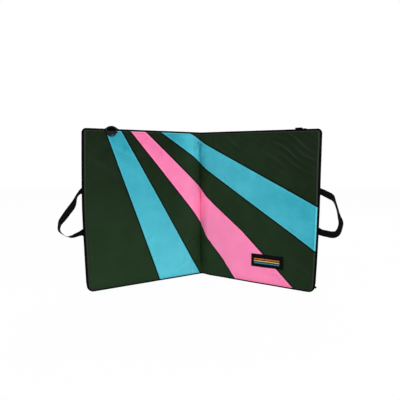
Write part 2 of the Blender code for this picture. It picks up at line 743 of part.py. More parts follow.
def upper_strap(body):
    """The strap sewn on the top edge, which hangs down the ground side with a hook on its end."""
    wide = Vector((1.0, 0.0, 0.0))
    half = WEBBING_THICK / 2
    seat = PAD_HEIGHT + FIT_GAP + half
    sewn = LANDING + EDGE_DROP + 2 * PIPING_RADIUS
    turn = STRAP_TURN_RADIUS
    inner = GROUND + FIT_GAP + half
    plate = inner + half + FIT_GAP + HOOK_THICK / 2
    outer = plate + HOOK_THICK / 2 + FIT_GAP + half
    path = [(sewn, seat), (outer - turn, seat)]
    for step in range(1, 5):
        angle = math.radians(90.0 - 90.0 * step / 4)
        path.append((outer - turn + turn * math.cos(angle), seat - turn + turn * math.sin(angle)))
    path.append((outer, PAD_HEIGHT - ANCHOR_END + WEBBING_THICK))
    stations = [(Vector((STRAP_CENTRE, depth, up)), wide) for depth, up in path]
    ribbon("upper_strap_anchor", stations, WEBBING_WIDTH, WEBBING_THICK, body, WEBBING)

    swing = outer + half + FIT_GAP
    pivot = add_empty("upper_strap_pivot", body, (STRAP_CENTRE, swing, PAD_HEIGHT - ANCHOR_END))
    hook_top = PAD_HEIGHT - STRAP_HANG
    under = hook_top - HOOK_BAR
    wrap = FIT_GAP + half
    path = [(outer, PAD_HEIGHT - ANCHOR_END - WEBBING_THICK), (outer, hook_top + HOOK_BAR)]
    for corner, first in ((plate + HOOK_THICK / 2, 0.0), (plate - HOOK_THICK / 2, -90.0)):
        for step in range(4):
            angle = math.radians(first - 30.0 * step)
            path.append((corner + wrap * math.cos(angle), under + wrap * math.sin(angle)))
    path.append((inner, hook_top + STRAP_FOLD_BACK))
    origin = Vector((0.0, swing, PAD_HEIGHT - ANCHOR_END))
    stations = [(Vector((0.0, depth, up)) - origin, wide) for depth, up in path]
    ribbon("upper_strap", stations, WEBBING_WIDTH, WEBBING_THICK, pivot, WEBBING)
    hook("upper_hook", pivot, plate - origin.y, hook_top - origin.z)


def box_outline(left, right, low, high):
    return [(left, low), (right, low), (right, high), (left, high)]


def hook(name, body, depth, top):
    """A flat closure hook: a slotted head over a ring-sized gap with a mouth at one side."""
    half = HOOK_WIDTH / 2
    bottom = top - HOOK_LENGTH
    plate = prism(name, box_outline(-half, half, bottom, top), RIGHT, depth - HOOK_THICK / 2,
                  depth + HOOK_THICK / 2, PARTS)
    plate.parent = body
    plate.data.materials.append(ACETAL)
    inside = half - HOOK_BAR
    slot_low = top - HOOK_BAR - HOOK_SLOT_HEIGHT
    gap_top = slot_low - HOOK_BAR
    gap_low = bottom + HOOK_BAR
    mouth_low = gap_low + HOOK_LIP
    cuts = (
        ("slot", box_outline(-inside, inside, slot_low, top - HOOK_BAR)),
        ("gap", box_outline(-inside, inside, gap_low, gap_top)),
        ("mouth", box_outline(inside - FIT_GAP, half + OVERRUN, mouth_low, mouth_low + HOOK_MOUTH)),
    )
    for label, points in cuts:
        cutter = prism(f"{name}_{label}", points, RIGHT, depth - HOOK_THICK, depth + HOOK_THICK)
        cut(plate, cutter, "DIFFERENCE")


def lower_strap(body):
    """The plain strap sewn low on the ground side, whose tail lies out along the floor."""
    floor = FIT_GAP + WEBBING_THICK / 2
    depth = GROUND + FIT_GAP + WEBBING_THICK / 2
    width = Vector((1.0, 0.0, 0.0))
    stations = [(Vector((LOWER_STRAP_START, depth, LOWER_STRAP_DROP)), width),
                (Vector((LOWER_STRAP_START, depth, WEBBING_WIDTH / 2)), width)]
    run = Vector((math.cos(LOWER_STRAP_SPLAY), math.sin(LOWER_STRAP_SPLAY), 0.0))
    square = Vector((-run.y, run.x, 0.0))
    centre = Vector((LOWER_STRAP_START, depth + WEBBING_WIDTH / 2 + WEBBING_THICK, floor))
    for step in range(1, 4):
        share = step / 4
        middle = stations[1][0].lerp(centre, share)
        stations.append((middle, width.lerp(square * -1.0, share * share).normalized()))
    for share in LOWER_STRAP_RUN_shares:
        stations.append((centre + run * LOWER_STRAP_RUN * share, square * -1.0))
    ribbon("lower_strap", stations, WEBBING_WIDTH, WEBBING_THICK, body, WEBBING)


def label(body):
    """The woven label, a thin patch that follows the landing face."""
    columns = [LABEL_ACROSS + LABEL_WIDTH * share for share in (-0.5, 0.0, 0.5)]
    rows = [LABEL_UP + LABEL_HEIGHT * share for share in (-0.5, 0.5)]
    lift = FIT_GAP * 2

    def place(across, up):
        return Vector((across, landing_depth(across, up) - lift, up))

    work = grid_mesh(columns, rows, place)
    face_towards(work, (0.0, -1.0, 0.0))
    patch = add_object("label", to_mesh(work, "label"), body, BLACK)
    solid = patch.modifiers.new("weave", "SOLIDIFY")
    solid.thickness = LABEL_THICK
    solid.offset = 1.0


def zipper(side_name, side, body):
    """Zip tape with its row of teeth, and the slider with its pull at the lower end."""
    low = zip_low()
    depth = GROUND
    half = ZIP_WIDTH / 2
    teeth = ZIP_TEETH_WIDTH / 2
    profile = [(-half, -ZIP_TAPE), (half, -ZIP_TAPE), (half, 0.0), (teeth, 0.0), (teeth, ZIP_TEETH_RISE),
               (-teeth, ZIP_TEETH_RISE), (-teeth, 0.0), (-half, 0.0)]
    curve = bpy.data.curves.new(f"{side_name}_zip_tape", "CURVE")
    curve.dimensions = "2D"
    curve.fill_mode = "BOTH"
    curve.extrude = ZIP_LENGTH / 2
    spline = curve.splines.new("POLY")
    spline.points.add(len(profile) - 1)
    for point, (out, rise) in zip(spline.points, profile):
        point.co = (out, rise, 0.0, 1.0)
    spline.use_cyclic_u = True
    tape = add_object(f"{side_name}_zip_tape", curve, body, BLACK)
    tape.location = (side * ZIP_FROM_FOLD, depth, low + ZIP_LENGTH / 2)

    rest = low + SLIDER_FROM_END
    pivot = add_empty(f"{side_name}_zip_slide", body, (side * ZIP_FROM_FOLD, depth, rest))
    size = (SLIDER_WIDTH, SLIDER_RISE, SLIDER_LENGTH)
    slider = block(f"{side_name}_zip_slider", size, (0.0, FIT_GAP + SLIDER_RISE / 2, 0.0), pivot, STEEL)
    round_edges(slider, SLIDER_RISE / 6, 1)
    size = (ZIP_TEETH_WIDTH + 2 * FIT_GAP, 2 * (ZIP_TEETH_RISE + FIT_GAP), 2 * SLIDER_LENGTH)
    channel = block(f"{side_name}_slider_channel", size, (0.0, 0.0, 0.0), pivot, None, CUTTERS)
    cut(slider, channel, "DIFFERENCE")
    size = (PULL_WIDTH, PULL_THICK, PULL_LENGTH)
    lift = 2 * FIT_GAP + SLIDER_RISE + PULL_THICK / 2
    hang = SLIDER_LENGTH / 3 - PULL_LENGTH / 2
    pull = block(f"{side_name}_zip_pull", size, (0.0, lift, hang), pivot, STEEL)
    round_edges(pull, PULL_THICK / 4, 1)


def block(name, size, centre, parent, finish, collection=PARTS):
    """A box of a size, centred on a place in its parent's frame."""
    bpy.ops.mesh.primitive_cube_add(size=1.0)
    made = bpy.context.object
    made.name = name
    for old in list(made.users_collection):
        old.objects.unlink(made)
    collection.objects.link(made)
    made.data.transform(Matrix.Translation(centre) @ Matrix.Diagonal((*size, 1.0)))
    made.parent = parent
    if finish is not None:
        made.data.materials.append(finish)
    return made


def round_edges(piece, width, segments):
    bevel = piece.modifiers.new("rounding", "BEVEL")
    bevel.width = width
    bevel.segments = segments
    bevel.limit_method = "ANGLE"


def shoulder_outline(centre, lean):
    """A shoulder strap's outline: a band that bulges to one side between its ends."""
    half = SHOULDER_WIDTH / 2
    steps = 8
    near, far = [], []
    for step in range(steps + 1):
        share = step / steps
        up = SHOULDER_BOTTOM + (SHOULDER_TOP - SHOULDER_BOTTOM) * share
        across = centre + lean * SHOULDER_BULGE * math.sin(math.pi * share)
        fullness = math.sin(math.pi / 2 * min(share / SHOULDER_FULL_share, 1.0))
        taper = SHOULDER_END_share + (1 - SHOULDER_END_share) * fullness
        near.append((across - half * taper, up))
        far.append((across + half * taper, up))
    return near + far[::-1]


def harness(body):
    """Two padded shoulder straps, their webbing and ladder-locks, on the right half's ground side."""
    for name, lean in (("inner", -1), ("outer", 1)):
        centre = SHOULDER_ACROSS + lean * SHOULDER_SPREAD
        low = GROUND + FIT_GAP
        pad = prism(f"{name}_shoulder_strap", shoulder_outline(centre, lean), RIGHT, low,
                    low + SHOULDER_THICK, PARTS)
        pad.parent = body
        pad.data.materials.append(BLACK)
        round_edges(pad, SHOULDER_ROUNDING, 2)
        buckle(f"{name}_ladder_lock", body, centre)
        back = low + THIN_WEBBING_THICK / 2
        top = SHOULDER_BOTTOM - FIT_GAP
        stations = [(Vector((centre, back, top)), Vector((1.0, 0.0, 0.0))),
                    (Vector((centre, back, THIN_WEBBING_BOTTOM)), Vector((1.0, 0.0, 0.0)))]
        ribbon(f"{name}_shoulder_webbing", stations, THIN_WEBBING_WIDTH, THIN_WEBBING_THICK, body, WEBBING)


def buckle(name, body, centre):
    """A ladder-lock: a flat frame with two slots, on the webbing just under the padding."""
    half = LADDER_WIDTH / 2
    top = SHOULDER_BOTTOM - FIT_GAP - LADDER_SLOT
    bottom = top - LADDER_HEIGHT
    low = GROUND + 2 * FIT_GAP + THIN_WEBBING_THICK
    frame = [(centre - half, bottom), (centre + half, bottom), (centre + half, top), (centre - half, top)]
    plate = prism(name, frame, RIGHT, low, low + LADDER_THICK, PARTS)
    plate.parent = body
    plate.data.materials.append(ACETAL)
    slot_half = half - (LADDER_WIDTH - THIN_WEBBING_WIDTH) / 3
    for index in (1, 2):
        middle = bottom + LADDER_HEIGHT * index / 3
        slot = [(centre - slot_half, middle - LADDER_SLOT / 2), (centre + slot_half, middle - LADDER_SLOT / 2),
                (centre + slot_half, middle + LADDER_SLOT / 2), (centre - slot_half, middle + LADDER_SLOT / 2)]
        cutter = prism(f"{name}_slot_{index}", slot, RIGHT, low - LADDER_THICK, low + 2 * LADDER_THICK)
        cut(plate, cutter, "DIFFERENCE")


def fold_web(assembly):
    """The strip of cover at the bottom of the valley, creased back between the halves."""
    depth = LANDING + FOLD_DROP + COVER_THICK / 2
    turn = REST_TURN
    across = FOLD_GAP - FIT_GAP
    edge_x = across * math.cos(turn) + depth * math.sin(turn)
    edge_y = -across * math.sin(turn) + depth * math.cos(turn)
    rows = [WEB_END, PAD_HEIGHT - WEB_END]

    def place(share, up):
        return Vector((edge_x * share, edge_y + WEB_CREASE * (1 - abs(share)) ** 2, up))

    work = grid_mesh(WEB_COLUMN_shares, rows, place)
    face_towards(work, (0.0, -1.0, 0.0))
    web = add_object("fold_web", to_mesh(work, "fold_web"), assembly, GREEN)
    solid = web.modifiers.new("fabric", "SOLIDIFY")
    solid.thickness = COVER_THICK
    solid.offset = -1.0


def stand_on_origin(assembly):
    """Move the pad so that the middle of its box stands at the origin."""
    bpy.context.view_layer.update()
    graph = bpy.context.evaluated_depsgraph_get()
    low = Vector((math.inf,) * 3)
    high = Vector((-math.inf,) * 3)
    for piece in PARTS.objects:
        if piece.type == "EMPTY":
            continue
        solid = piece.evaluated_get(graph)
        mesh = solid.to_mesh()
        for vertex in mesh.vertices:
            place = solid.matrix_world @ vertex.co
            low = Vector(map(min, low, place))
            high = Vector(map(max, high, place))
        solid.to_mesh_clear()
    assembly.location = (-(low.x + high.x) / 2, -(low.y + high.y) / 2, -low.z)


def build():
    assembly = add_empty("pad_assembly")
    left = add_empty("left_half", assembly, turn=REST_TURN)
    right = add_empty("right_half", assembly, turn=-REST_TURN)
    landing_cover("left", LEFT, left, LEFT_PANELS, LEFT_BORDERS)
    landing_cover("right", RIGHT, right, RIGHT_PANELS, RIGHT_BORDERS)
    for side_name, side, body in (("left", LEFT, left), ("right", RIGHT, right)):
        foams(side_name, side, body)
        ground_cover(side_name, side, body)
        gussets(side_name, side, body)
        piping(side_name, side, body)
        zipper(side_name, side, body)
    handle("left", LEFT, left, LEFT_HANDLE_shares, LEFT_HANDLE_REACH)
    handle("right", RIGHT, right, RIGHT_HANDLE_shares, RIGHT_HANDLE_REACH)
    closure_rings(left)
    upper_strap(right)
    lower_strap(right)
    label(right)
    harness(right)
    fold_web(assembly)
    stand_on_origin(assembly)


build()
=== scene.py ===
"""Looks of the hinged bouldering crash pad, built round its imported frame.

Metres, +Z up. The pad stands open like a book, with its landing sides towards -Y.
"""

import contextlib
import json
import math

import bmesh
import bpy
import numpy as np
from mathutils import Matrix, Vector, noise


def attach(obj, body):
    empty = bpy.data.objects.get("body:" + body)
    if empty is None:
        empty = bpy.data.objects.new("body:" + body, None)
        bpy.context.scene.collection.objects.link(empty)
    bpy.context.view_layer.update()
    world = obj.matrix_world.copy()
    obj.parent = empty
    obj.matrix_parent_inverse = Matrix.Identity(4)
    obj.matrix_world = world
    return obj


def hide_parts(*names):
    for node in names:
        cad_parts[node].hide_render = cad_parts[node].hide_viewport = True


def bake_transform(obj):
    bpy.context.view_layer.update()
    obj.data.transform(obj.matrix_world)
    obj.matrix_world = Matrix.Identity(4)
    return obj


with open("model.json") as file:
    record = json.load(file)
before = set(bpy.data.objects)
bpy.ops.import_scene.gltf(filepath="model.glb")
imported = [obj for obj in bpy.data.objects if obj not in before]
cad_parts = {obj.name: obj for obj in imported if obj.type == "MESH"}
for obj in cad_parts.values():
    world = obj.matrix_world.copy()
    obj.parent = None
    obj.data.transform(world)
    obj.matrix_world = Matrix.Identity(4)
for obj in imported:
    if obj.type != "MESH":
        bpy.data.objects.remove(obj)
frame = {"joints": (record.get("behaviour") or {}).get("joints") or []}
bpy.ops.object.select_all(action="DESELECT")
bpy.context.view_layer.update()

# Whole pad, as in the frame
PAD_HEIGHT = 0.914
HALF_ACROSS = 0.724
PAD_THICKNESS = 0.076
TURN = math.radians(29.0)
HINGE_FRONT = 0.012
FOLD_GAP = 0.0035
OUTER_BOW = 0.008
TOP_CORNER = 0.022
BOTTOM_CORNER = 0.040
FOLD_CORNER = 0.009
LANDING = HINGE_FRONT
GROUND = HINGE_FRONT + PAD_THICKNESS
LEFT = -1
RIGHT = 1

FOLD_JOINT = next(joint for joint in frame["joints"] if joint["name"] == "fold")
HINGE = Vector((FOLD_JOINT["pos_m"][0], FOLD_JOINT["pos_m"][1], 0.0))
HALF_FRAME = {side: Matrix.Translation(HINGE) @ Matrix.Rotation(-side * TURN, 4, "Z")
              for side in (LEFT, RIGHT)}
BODY = {LEFT: "left_half", RIGHT: "right_half"}

# Landing face: its crown, its bead, its rolled rim and its topstitching
CROWN = 0.008
EDGE_DROP = 0.009
EDGE_ROLL = 0.024
PIPING_RADIUS = 0.0056
PIPING_INSET = 0.0056
PIPING_DROP = EDGE_DROP + PIPING_RADIUS
SEAM_INSET = 0.0100
RIM = 0.0195
RIM_PUFF = 0.0016
TOPSTITCH_GROOVE = 0.0016
TOPSTITCH_HALF = 0.0020
OUTER_DRAW = 0.009

# The covers puff a little past the frame's own outline, and their sides wave
FACE_ACROSS = HALF_ACROSS + 0.0020
FACE_HEIGHT = PAD_HEIGHT + 0.0025
SIDE_WAVE = {LEFT: (0.0030, 0.52, 0.20), RIGHT: (0.0050, 1.0, 0.16)}

# Valley of the fold, seen from above in world places: deep inside the pad, shallow at its ends
CREASE = (-0.0060, 0.2020)
SHALLOW_CREASE = (0.0020, 0.1790)
VALLEY_REACH = {LEFT: 0.075, RIGHT: 0.060}
VALLEY_HANDLES = {LEFT: ((-0.0150, 0.1870), (-0.0385, 0.1530)), RIGHT: ((0.0050, 0.1868), (0.0285, 0.1555))}
VALLEY_EASE = 0.100
VALLEY_END_SHARE = 0.10
CREASE_LEAN = 0.011
CREASE_GROOVE = 0.0015
CREASE_HALF = 0.0050

# Seams between the coloured panels
SEAM_GROOVE = 0.0024
SEAM_HALF = 0.0038
SEAM_SHIFT = 0.0028
SEAM_RIDGE = 0.0010
SEAM_RIDGE_AWAY = 0.0048
SEAM_RIDGE_HALF = 0.0032
SEAM_CUTS = (-0.0072, -0.0048, -0.0022, 0.0, 0.0022, 0.0048, 0.0072)

# How far each of these paints shade into the cloth, or paints a highlight on it
CREASE_PAINTED_SHADE = 0.12
CRINKLE_PAINTED_SHADE = 0.45
STITCH_PAINTED_SHADE = 0.2
RIDGE_PAINTED_HIGHLIGHT = 0.35
CREST_PAINTED_HIGHLIGHT = 0.7


def clamp(value, low, high):
    """A value kept between two others."""
    return min(max(value, low), high)


def linear(code):
    """An sRGB hex code as a linear colour with alpha."""
    colour = []
    for start in (0, 2, 4):
        share = int(code[start:start + 2], 16) / 255
        colour.append(share / 12.92 if share <= 0.04045 else ((share + 0.055) / 1.055) ** 2.4)
    return (*colour, 1.0)


def add_node(tree, kind, settings=None, inputs=None):
    """Add a shader node, with its settings, and its sockets (by name or number) given values or links."""
    made = tree.nodes.new("ShaderNode" + kind)
    for name, value in (settings or {}).items():
        setattr(made, name, value)
    for name, value in (inputs or {}).items():
        if isinstance(value, bpy.types.NodeSocket):
            tree.links.new(value, made.inputs[name])
        else:
            made.inputs[name].default_value = value
    return made


def new_material(name, constants):
    """A material with a Principled shader, whose plain sockets are set."""
    made = bpy.data.materials.new(name)
    made.use_nodes = True
    shader = made.node_tree.nodes["Principled BSDF"]
    for socket, value in constants.items():
        shader.inputs[socket].default_value = value
    return made, made.node_tree, shader


def mix(tree, factor, first, second):
    """A colour between two, each of them a socket or an sRGB hex code."""
    colours = [linear(colour) if isinstance(colour, str) else colour for colour in (first, second)]
    made = add_node(tree, "Mix", {"data_type": "RGBA"}, {"Factor": factor, 6: colours[0], 7: colours[1]})
    return made.outputs[2]


# A Wave texture of scale WAVE_PERIOD / size repeats at that size
WAVE_PERIOD = math.pi / 10
# Real threads are 0.3 mm; they are drawn coarser, so that the camera can see them
THREAD = 0.0016
RIB = 0.0022
CORD = 0.0036
LABEL_RIB = 0.0009
MOTTLE = 0.110
RUMPLE = 0.022


def woven(tree, cloth, across, along):
    """Height of a weave over the cloth map: waves of two sizes that cross."""
    waves = []
    for direction, size in (("X", across), ("Y", along)):
        wave = add_node(tree, "TexWave", {"bands_direction": direction},
                        {"Vector": cloth, "Scale": WAVE_PERIOD / size})
        waves.append(wave.outputs["Fac"])
    return add_node(tree, "Math", {"operation": "MULTIPLY"}, {0: waves[0], 1: waves[1]}).outputs["Value"]


def coated_nylon(name, dark, light, painted_seam_shade, painted_highlight_colour):
    """Woven nylon with a matte coating, mottled and lightened by painted light, with painted shade in its
    seams, crease and crinkles, and painted highlights on its rim, ridges and wrinkle crests.
    """
    made, tree, shader = new_material(name, {"Roughness": 0.72, "Specular IOR Level": 0.04})
    place = add_node(tree, "TexCoord").outputs["Object"]
    cloth = add_node(tree, "UVMap", {"uv_map": "cloth"}).outputs["UV"]
    mottle = add_node(tree, "TexNoise", {}, {"Vector": place, "Scale": 1 / MOTTLE, "Detail": 3.0,
                                             "Roughness": 0.55})
    share = add_node(tree, "MapRange", {}, {"Value": mottle.outputs["Fac"], "From Min": 0.36,
                                            "From Max": 0.66, "To Min": -0.10, "To Max": 0.10})
    wear_and_painted_light = add_node(tree, "Attribute", {"attribute_name": "wear_and_painted_light"}).outputs["Fac"]
    tone_and_painted_light = add_node(tree, "Math", {"operation": "ADD", "use_clamp": True},
                     {0: wear_and_painted_light, 1: share.outputs["Result"]})
    last = mix(tree, tone_and_painted_light.outputs["Value"], dark, light)
    for attribute, code in (("painted_highlight", painted_highlight_colour), ("seam", painted_seam_shade)):
        amount = add_node(tree, "Attribute", {"attribute_name": attribute}).outputs["Fac"]
        last = mix(tree, amount, last, code)
    tree.links.new(last, shader.inputs["Base Color"])
    weave = woven(tree, cloth, THREAD, THREAD)
    fine = add_node(tree, "Bump", {}, {"Height": weave, "Distance": THREAD / 8, "Strength": 0.5})
    rumple = add_node(tree, "TexNoise", {}, {"Vector": place, "Scale": 1 / RUMPLE, "Detail": 2.0})
    soft = add_node(tree, "Bump", {}, {"Height": rumple.outputs["Fac"], "Distance": 0.0010, "Strength": 0.5,
                                       "Normal": fine.outputs["Normal"]})
    tree.links.new(soft.outputs["Normal"], shader.inputs["Normal"])
    return made


def black_nylon():
    """Black coated nylon of the gussets, and the scuffed, greyer nylon of the ground side."""
    made, tree, shader = new_material("black_coated_nylon", {"Roughness": 0.80, "Specular IOR Level": 0.03})
    place = add_node(tree, "TexCoord").outputs["Object"]
    mottle = add_node(tree, "TexNoise", {}, {"Vector": place, "Scale": 1 / MOTTLE, "Detail": 4.0})
    scuffed = add_node(tree, "Attribute", {"attribute_name": "wear_and_painted_light"}).outputs["Fac"]
    colour = mix(tree, scuffed, mix(tree, mottle.outputs["Fac"], "050505", "0A0A0A"), "262729")
    tree.links.new(colour, shader.inputs["Base Color"])
    weave = add_node(tree, "TexNoise", {}, {"Vector": place, "Scale": 1 / THREAD, "Detail": 1.0})
    rumple = add_node(tree, "TexNoise", {}, {"Vector": place, "Scale": 1 / RUMPLE, "Detail": 3.0})
    fine = add_node(tree, "Bump", {}, {"Height": weave.outputs["Fac"], "Distance": THREAD / 6,
                                       "Strength": 0.5})
    soft = add_node(tree, "Bump", {}, {"Height": rumple.outputs["Fac"], "Distance": 0.002, "Strength": 0.6,
                                       "Normal": fine.outputs["Normal"]})
    tree.links.new(soft.outputs["Normal"], shader.inputs["Normal"])
    return made


def webbing_nylon():
    """Flat nylon webbing: matte black, its ribs and cords a little paler on their crests."""
    made, tree, shader = new_material("black_nylon_webbing", {"Roughness": 0.7, "Specular IOR Level": 0.035})
    cloth = add_node(tree, "UVMap", {"uv_map": "cloth"}).outputs["UV"]
    weave = woven(tree, cloth, RIB, CORD)
    tree.links.new(mix(tree, weave, "040404", "0F0F0E"), shader.inputs["Base Color"])
    bump = add_node(tree, "Bump", {}, {"Height": weave, "Distance": 0.0004, "Strength": 0.8})
    tree.links.new(bump.outputs["Normal"], shader.inputs["Normal"])
    return made


def blackened_steel():
    """Welded steel wire with a black oxide finish: dark and glossy, cloudy where it is rubbed."""
    made, tree, shader = new_material("blackened_steel", {"Metallic": 1.0})
    place = add_node(tree, "TexCoord").outputs["Object"]
    rub = add_node(tree, "TexNoise", {}, {"Vector": place, "Scale": 1 / 0.012, "Detail": 4.0})
    tree.links.new(mix(tree, rub.outputs["Fac"], "101112", "2C2E30"), shader.inputs["Base Color"])
    rough = add_node(tree, "MapRange", {}, {"Value": rub.outputs["Fac"], "To Min": 0.26, "To Max": 0.48})
    tree.links.new(rough.outputs["Result"], shader.inputs["Roughness"])
    return made


def acetal():
    """Moulded black acetal, with the faint pebbling of its mould."""
    made, tree, shader = new_material("black_acetal", {"Roughness": 0.42, "IOR": 1.48})
    shader.inputs["Base Color"].default_value = linear("0D0D0E")
    place = add_node(tree, "TexCoord").outputs["Object"]
    pebble = add_node(tree, "TexNoise", {}, {"Vector": place, "Scale": 1 / 0.0012, "Detail": 2.0})
    bump = add_node(tree, "Bump", {}, {"Height": pebble.outputs["Fac"], "Distance": 0.0002, "Strength": 0.4})
    tree.links.new(bump.outputs["Normal"], shader.inputs["Normal"])
    return made


LABEL_BLACK = "0A0A0B"
LABEL_BANDS = ((0.049, "C8693A"), (0.0365, "C9B25A"), (0.024, "3C7F97"))
BAND_HALF = 0.0032
BAND_MIDDLE = 0.095
BAND_REACH = 0.078


def woven_label():
    """Black damask label: a woven edge, and three plain coloured bands across its middle."""
    made, tree, shader = new_material("woven_label_damask", {"Roughness": 0.7, "Specular IOR Level": 0.035})
    cloth = add_node(tree, "UVMap", {"uv_map": "cloth"}).outputs["UV"]
    split = add_node(tree, "SeparateXYZ", {}, {"Vector": cloth})

    def within(axis, centre, half):
        """One where the cloth lies within half a band of a place."""
        away = add_node(tree, "Math", {"operation": "SUBTRACT"}, {0: split.outputs[axis], 1: centre})
        size = add_node(tree, "Math", {"operation": "ABSOLUTE"}, {0: away.outputs["Value"]})
        inside = add_node(tree, "Math", {"operation": "LESS_THAN"}, {0: size.outputs["Value"], 1: half})
        return inside.outputs["Value"]

    last = LABEL_BLACK
    for up, code in LABEL_BANDS:
        last = mix(tree, within("Y", up, BAND_HALF), last, code)
    last = mix(tree, within("X", BAND_MIDDLE, BAND_REACH), LABEL_BLACK, last)
    tree.links.new(last, shader.inputs["Base Color"])
    rib = add_node(tree, "TexWave", {"bands_direction": "Y"},
                   {"Vector": cloth, "Scale": WAVE_PERIOD / LABEL_RIB})
    bump = add_node(tree, "Bump", {}, {"Height": rib.outputs["Fac"], "Distance": 0.0002, "Strength": 0.6})
    tree.links.new(bump.outputs["Normal"], shader.inputs["Normal"])
    return made


FINISHES = {
    # Each coated nylon: the two colours that mottling and painted light mix between, its painted seam shade,
    # and its painted highlight
    "green_nylon": coated_nylon("forest_green_coated_nylon", "152213", "233822", "040704", "2E342D"),
    "cyan_nylon": coated_nylon("cyan_coated_nylon", "2E95A8", "5AC7D7", "05303A", "5CC4D2"),
    "pink_nylon": coated_nylon("pink_coated_nylon", "EA74A3", "FF90BD", "4E0A26", "FF94BF"),
    "black_nylon": black_nylon(),
    "webbing": webbing_nylon(),
    "blackened_steel": blackened_steel(),
    "acetal": acetal(),
    "woven_label": woven_label(),
}


# Landing face in cloth lengths: run is measured along the cloth from the crease of the fold
def in_half(side, place):
    """Across and depth, in a half's frame, of a world place seen from above."""
    local = HALF_FRAME[side].inverted() @ Vector((*place, 0.0))
    return side * local.x, local.y


def valley_table(side):
    """Arc lengths from the crease, and the (across, depth) places of the deep valley there."""
    inner, outer = VALLEY_HANDLES[side]
    corners = np.array((in_half(side, CREASE), in_half(side, inner), in_half(side, outer),
                        (VALLEY_REACH[side], LANDING)))
    share = np.linspace(0.0, 1.0, 81)[:, None]
    rest = 1 - share
    places = rest ** 3 * corners[0] + 3 * rest ** 2 * share * corners[1]
    places += 3 * rest * share ** 2 * corners[2] + share ** 3 * corners[3]
    steps = np.linalg.norm(np.diff(places, axis=0), axis=1)
    return np.concatenate(([0.0], np.cumsum(steps))), places


VALLEY = {side: valley_table(side) for side in (LEFT, RIGHT)}
VALLEY_RUN = {side: float(VALLEY[side][0][-1]) for side in (LEFT, RIGHT)}
RUN_EDGE = {side: VALLEY_RUN[side] + HALF_ACROSS - VALLEY_REACH[side] for side in (LEFT, RIGHT)}


def run_at(side, across):
    """The run of a place on the flat part of a half."""
    return across - VALLEY_REACH[side] + VALLEY_RUN[side]


def ease(share):
    """A share of the way that starts and ends slowly."""
    share = np.clip(share, 0.0, 1.0)
    return share * share * (3 - 2 * share)


def profile(side, run, deep):
    """Across and depth of the face at a run from the crease, where the valley is a share as deep."""
    lengths, places = VALLEY[side]
    beyond = np.maximum(run - VALLEY_RUN[side], 0.0)
    near = np.clip(run / VALLEY_RUN[side], 0.0, 1.0)
    crease = in_half(side, SHALLOW_CREASE)
    values = []
    for axis, end in ((0, VALLEY_REACH[side]), (1, LANDING)):
        shallow = crease[axis] + (end - crease[axis]) * near
        values.append(shallow + (np.interp(run, lengths, places[:, axis]) - shallow) * deep)
    return values[0] + beyond, values[1]


def across_depth(side, run, up):
    """Across and depth of the face at a run from the crease, with the direction to its front."""
    from_end = np.minimum(up, PAD_HEIGHT - up)
    deep = VALLEY_END_SHARE + (1 - VALLEY_END_SHARE) * ease(from_end / VALLEY_EASE)
    across, depth = profile(side, run, deep)
    step = FOLD_GAP / 3
    low_across, low_depth = profile(side, np.maximum(run - step, 0.0), deep)
    high_across, high_depth = profile(side, run + step, deep)
    front_across, front_depth = high_depth - low_depth, low_across - high_across
    size = np.hypot(front_across, front_depth)
    near = ease(run / (4 * CREASE_HALF))
    front_across = near * front_across / size + (1 - near) * math.sin(TURN)
    front_depth = near * front_depth / size - (1 - near) * math.cos(TURN)
    size = np.hypot(front_across, front_depth)
    return across, depth, front_across / size, front_depth / size


def outer_side(side, up):
    """Across position of the bowed and slightly waving outer side at a height."""
    middle = PAD_HEIGHT / 2
    size, centre, reach = SIDE_WAVE[side]
    wave = size * np.exp(-((up / PAD_HEIGHT - centre) / reach) ** 2)
    return FACE_ACROSS - OUTER_BOW * ((up - middle) / middle) ** 2 + wave


def bend_in(side, run, ups, inset):
    """Fit the flat rectangle of cloth to the bowed, round-cornered outline, drawn in by an inset."""
    up = inset + ups * (FACE_HEIGHT - 2 * inset) / PAD_HEIGHT
    across, depth, front_across, front_depth = across_depth(side, run, up)
    edge = outer_side(side, up) - inset
    across = across - (HALF_ACROSS - edge) * (run / RUN_EDGE[side]) ** 8
    for radius, low in ((BOTTOM_CORNER - inset, True), (TOP_CORNER - inset, False)):
        from_side = edge - across
        from_end = up - inset if low else FACE_HEIGHT - inset - up
        inside = (from_side < radius) & (from_end < radius)
        out = np.where(inside, 1 - from_side / radius, 0.0)
        end = np.where(inside, 1 - from_end / radius, 0.0)
        size = np.hypot(out, end)
        share = np.where(size > 0, np.maximum(out, end) / np.maximum(size, FOLD_GAP / 1000), 1.0)
        across = np.where(inside, edge - radius * (1 - out * share), across)
        moved = radius * (1 - end * share)
        up = np.where(inside, inset + moved if low else FACE_HEIGHT - inset - moved, up)
    return across, depth, up, front_across, front_depth


def edge_distance(side, across, up):
    """Distance inside the rounded outline, leaving out its fold side."""
    from_side = outer_side(side, up) - across
    near = np.minimum(from_side, np.minimum(up, FACE_HEIGHT - up))
    for radius, end in ((BOTTOM_CORNER, up), (TOP_CORNER, FACE_HEIGHT - up)):
        inside = (from_side < radius) & (end < radius)
        near = np.where(inside, radius - np.hypot(radius - from_side, radius - end), near)
    return near


def to_world(side, across, depth, up):
    """World points of places in a half's frame."""
    turn = -side * TURN
    x = side * across * math.cos(turn) - depth * math.sin(turn) + HINGE.x
    y = side * across * math.sin(turn) + depth * math.cos(turn) + HINGE.y
    return np.stack((x, y, up), axis=-1)


def rim_shape(edge):
    """How far the face drops near its edge, over the puffed rim and its topstitching."""
    drop = EDGE_DROP * (1 - np.clip(edge / EDGE_ROLL, 0.0, 1.0)) ** 2
    turned = np.clip((RIM - edge) / (RIM - SEAM_INSET), 0.0, 1.0)
    rest = PIPING_DROP - EDGE_DROP * (1 - SEAM_INSET / EDGE_ROLL) ** 2
    drop = drop + rest * (1 - np.sqrt(1 - turned ** 2)) - RIM_PUFF * np.sin(math.pi * turned)
    return drop + TOPSTITCH_GROOVE * np.exp(-((edge - RIM) / TOPSTITCH_HALF) ** 2)


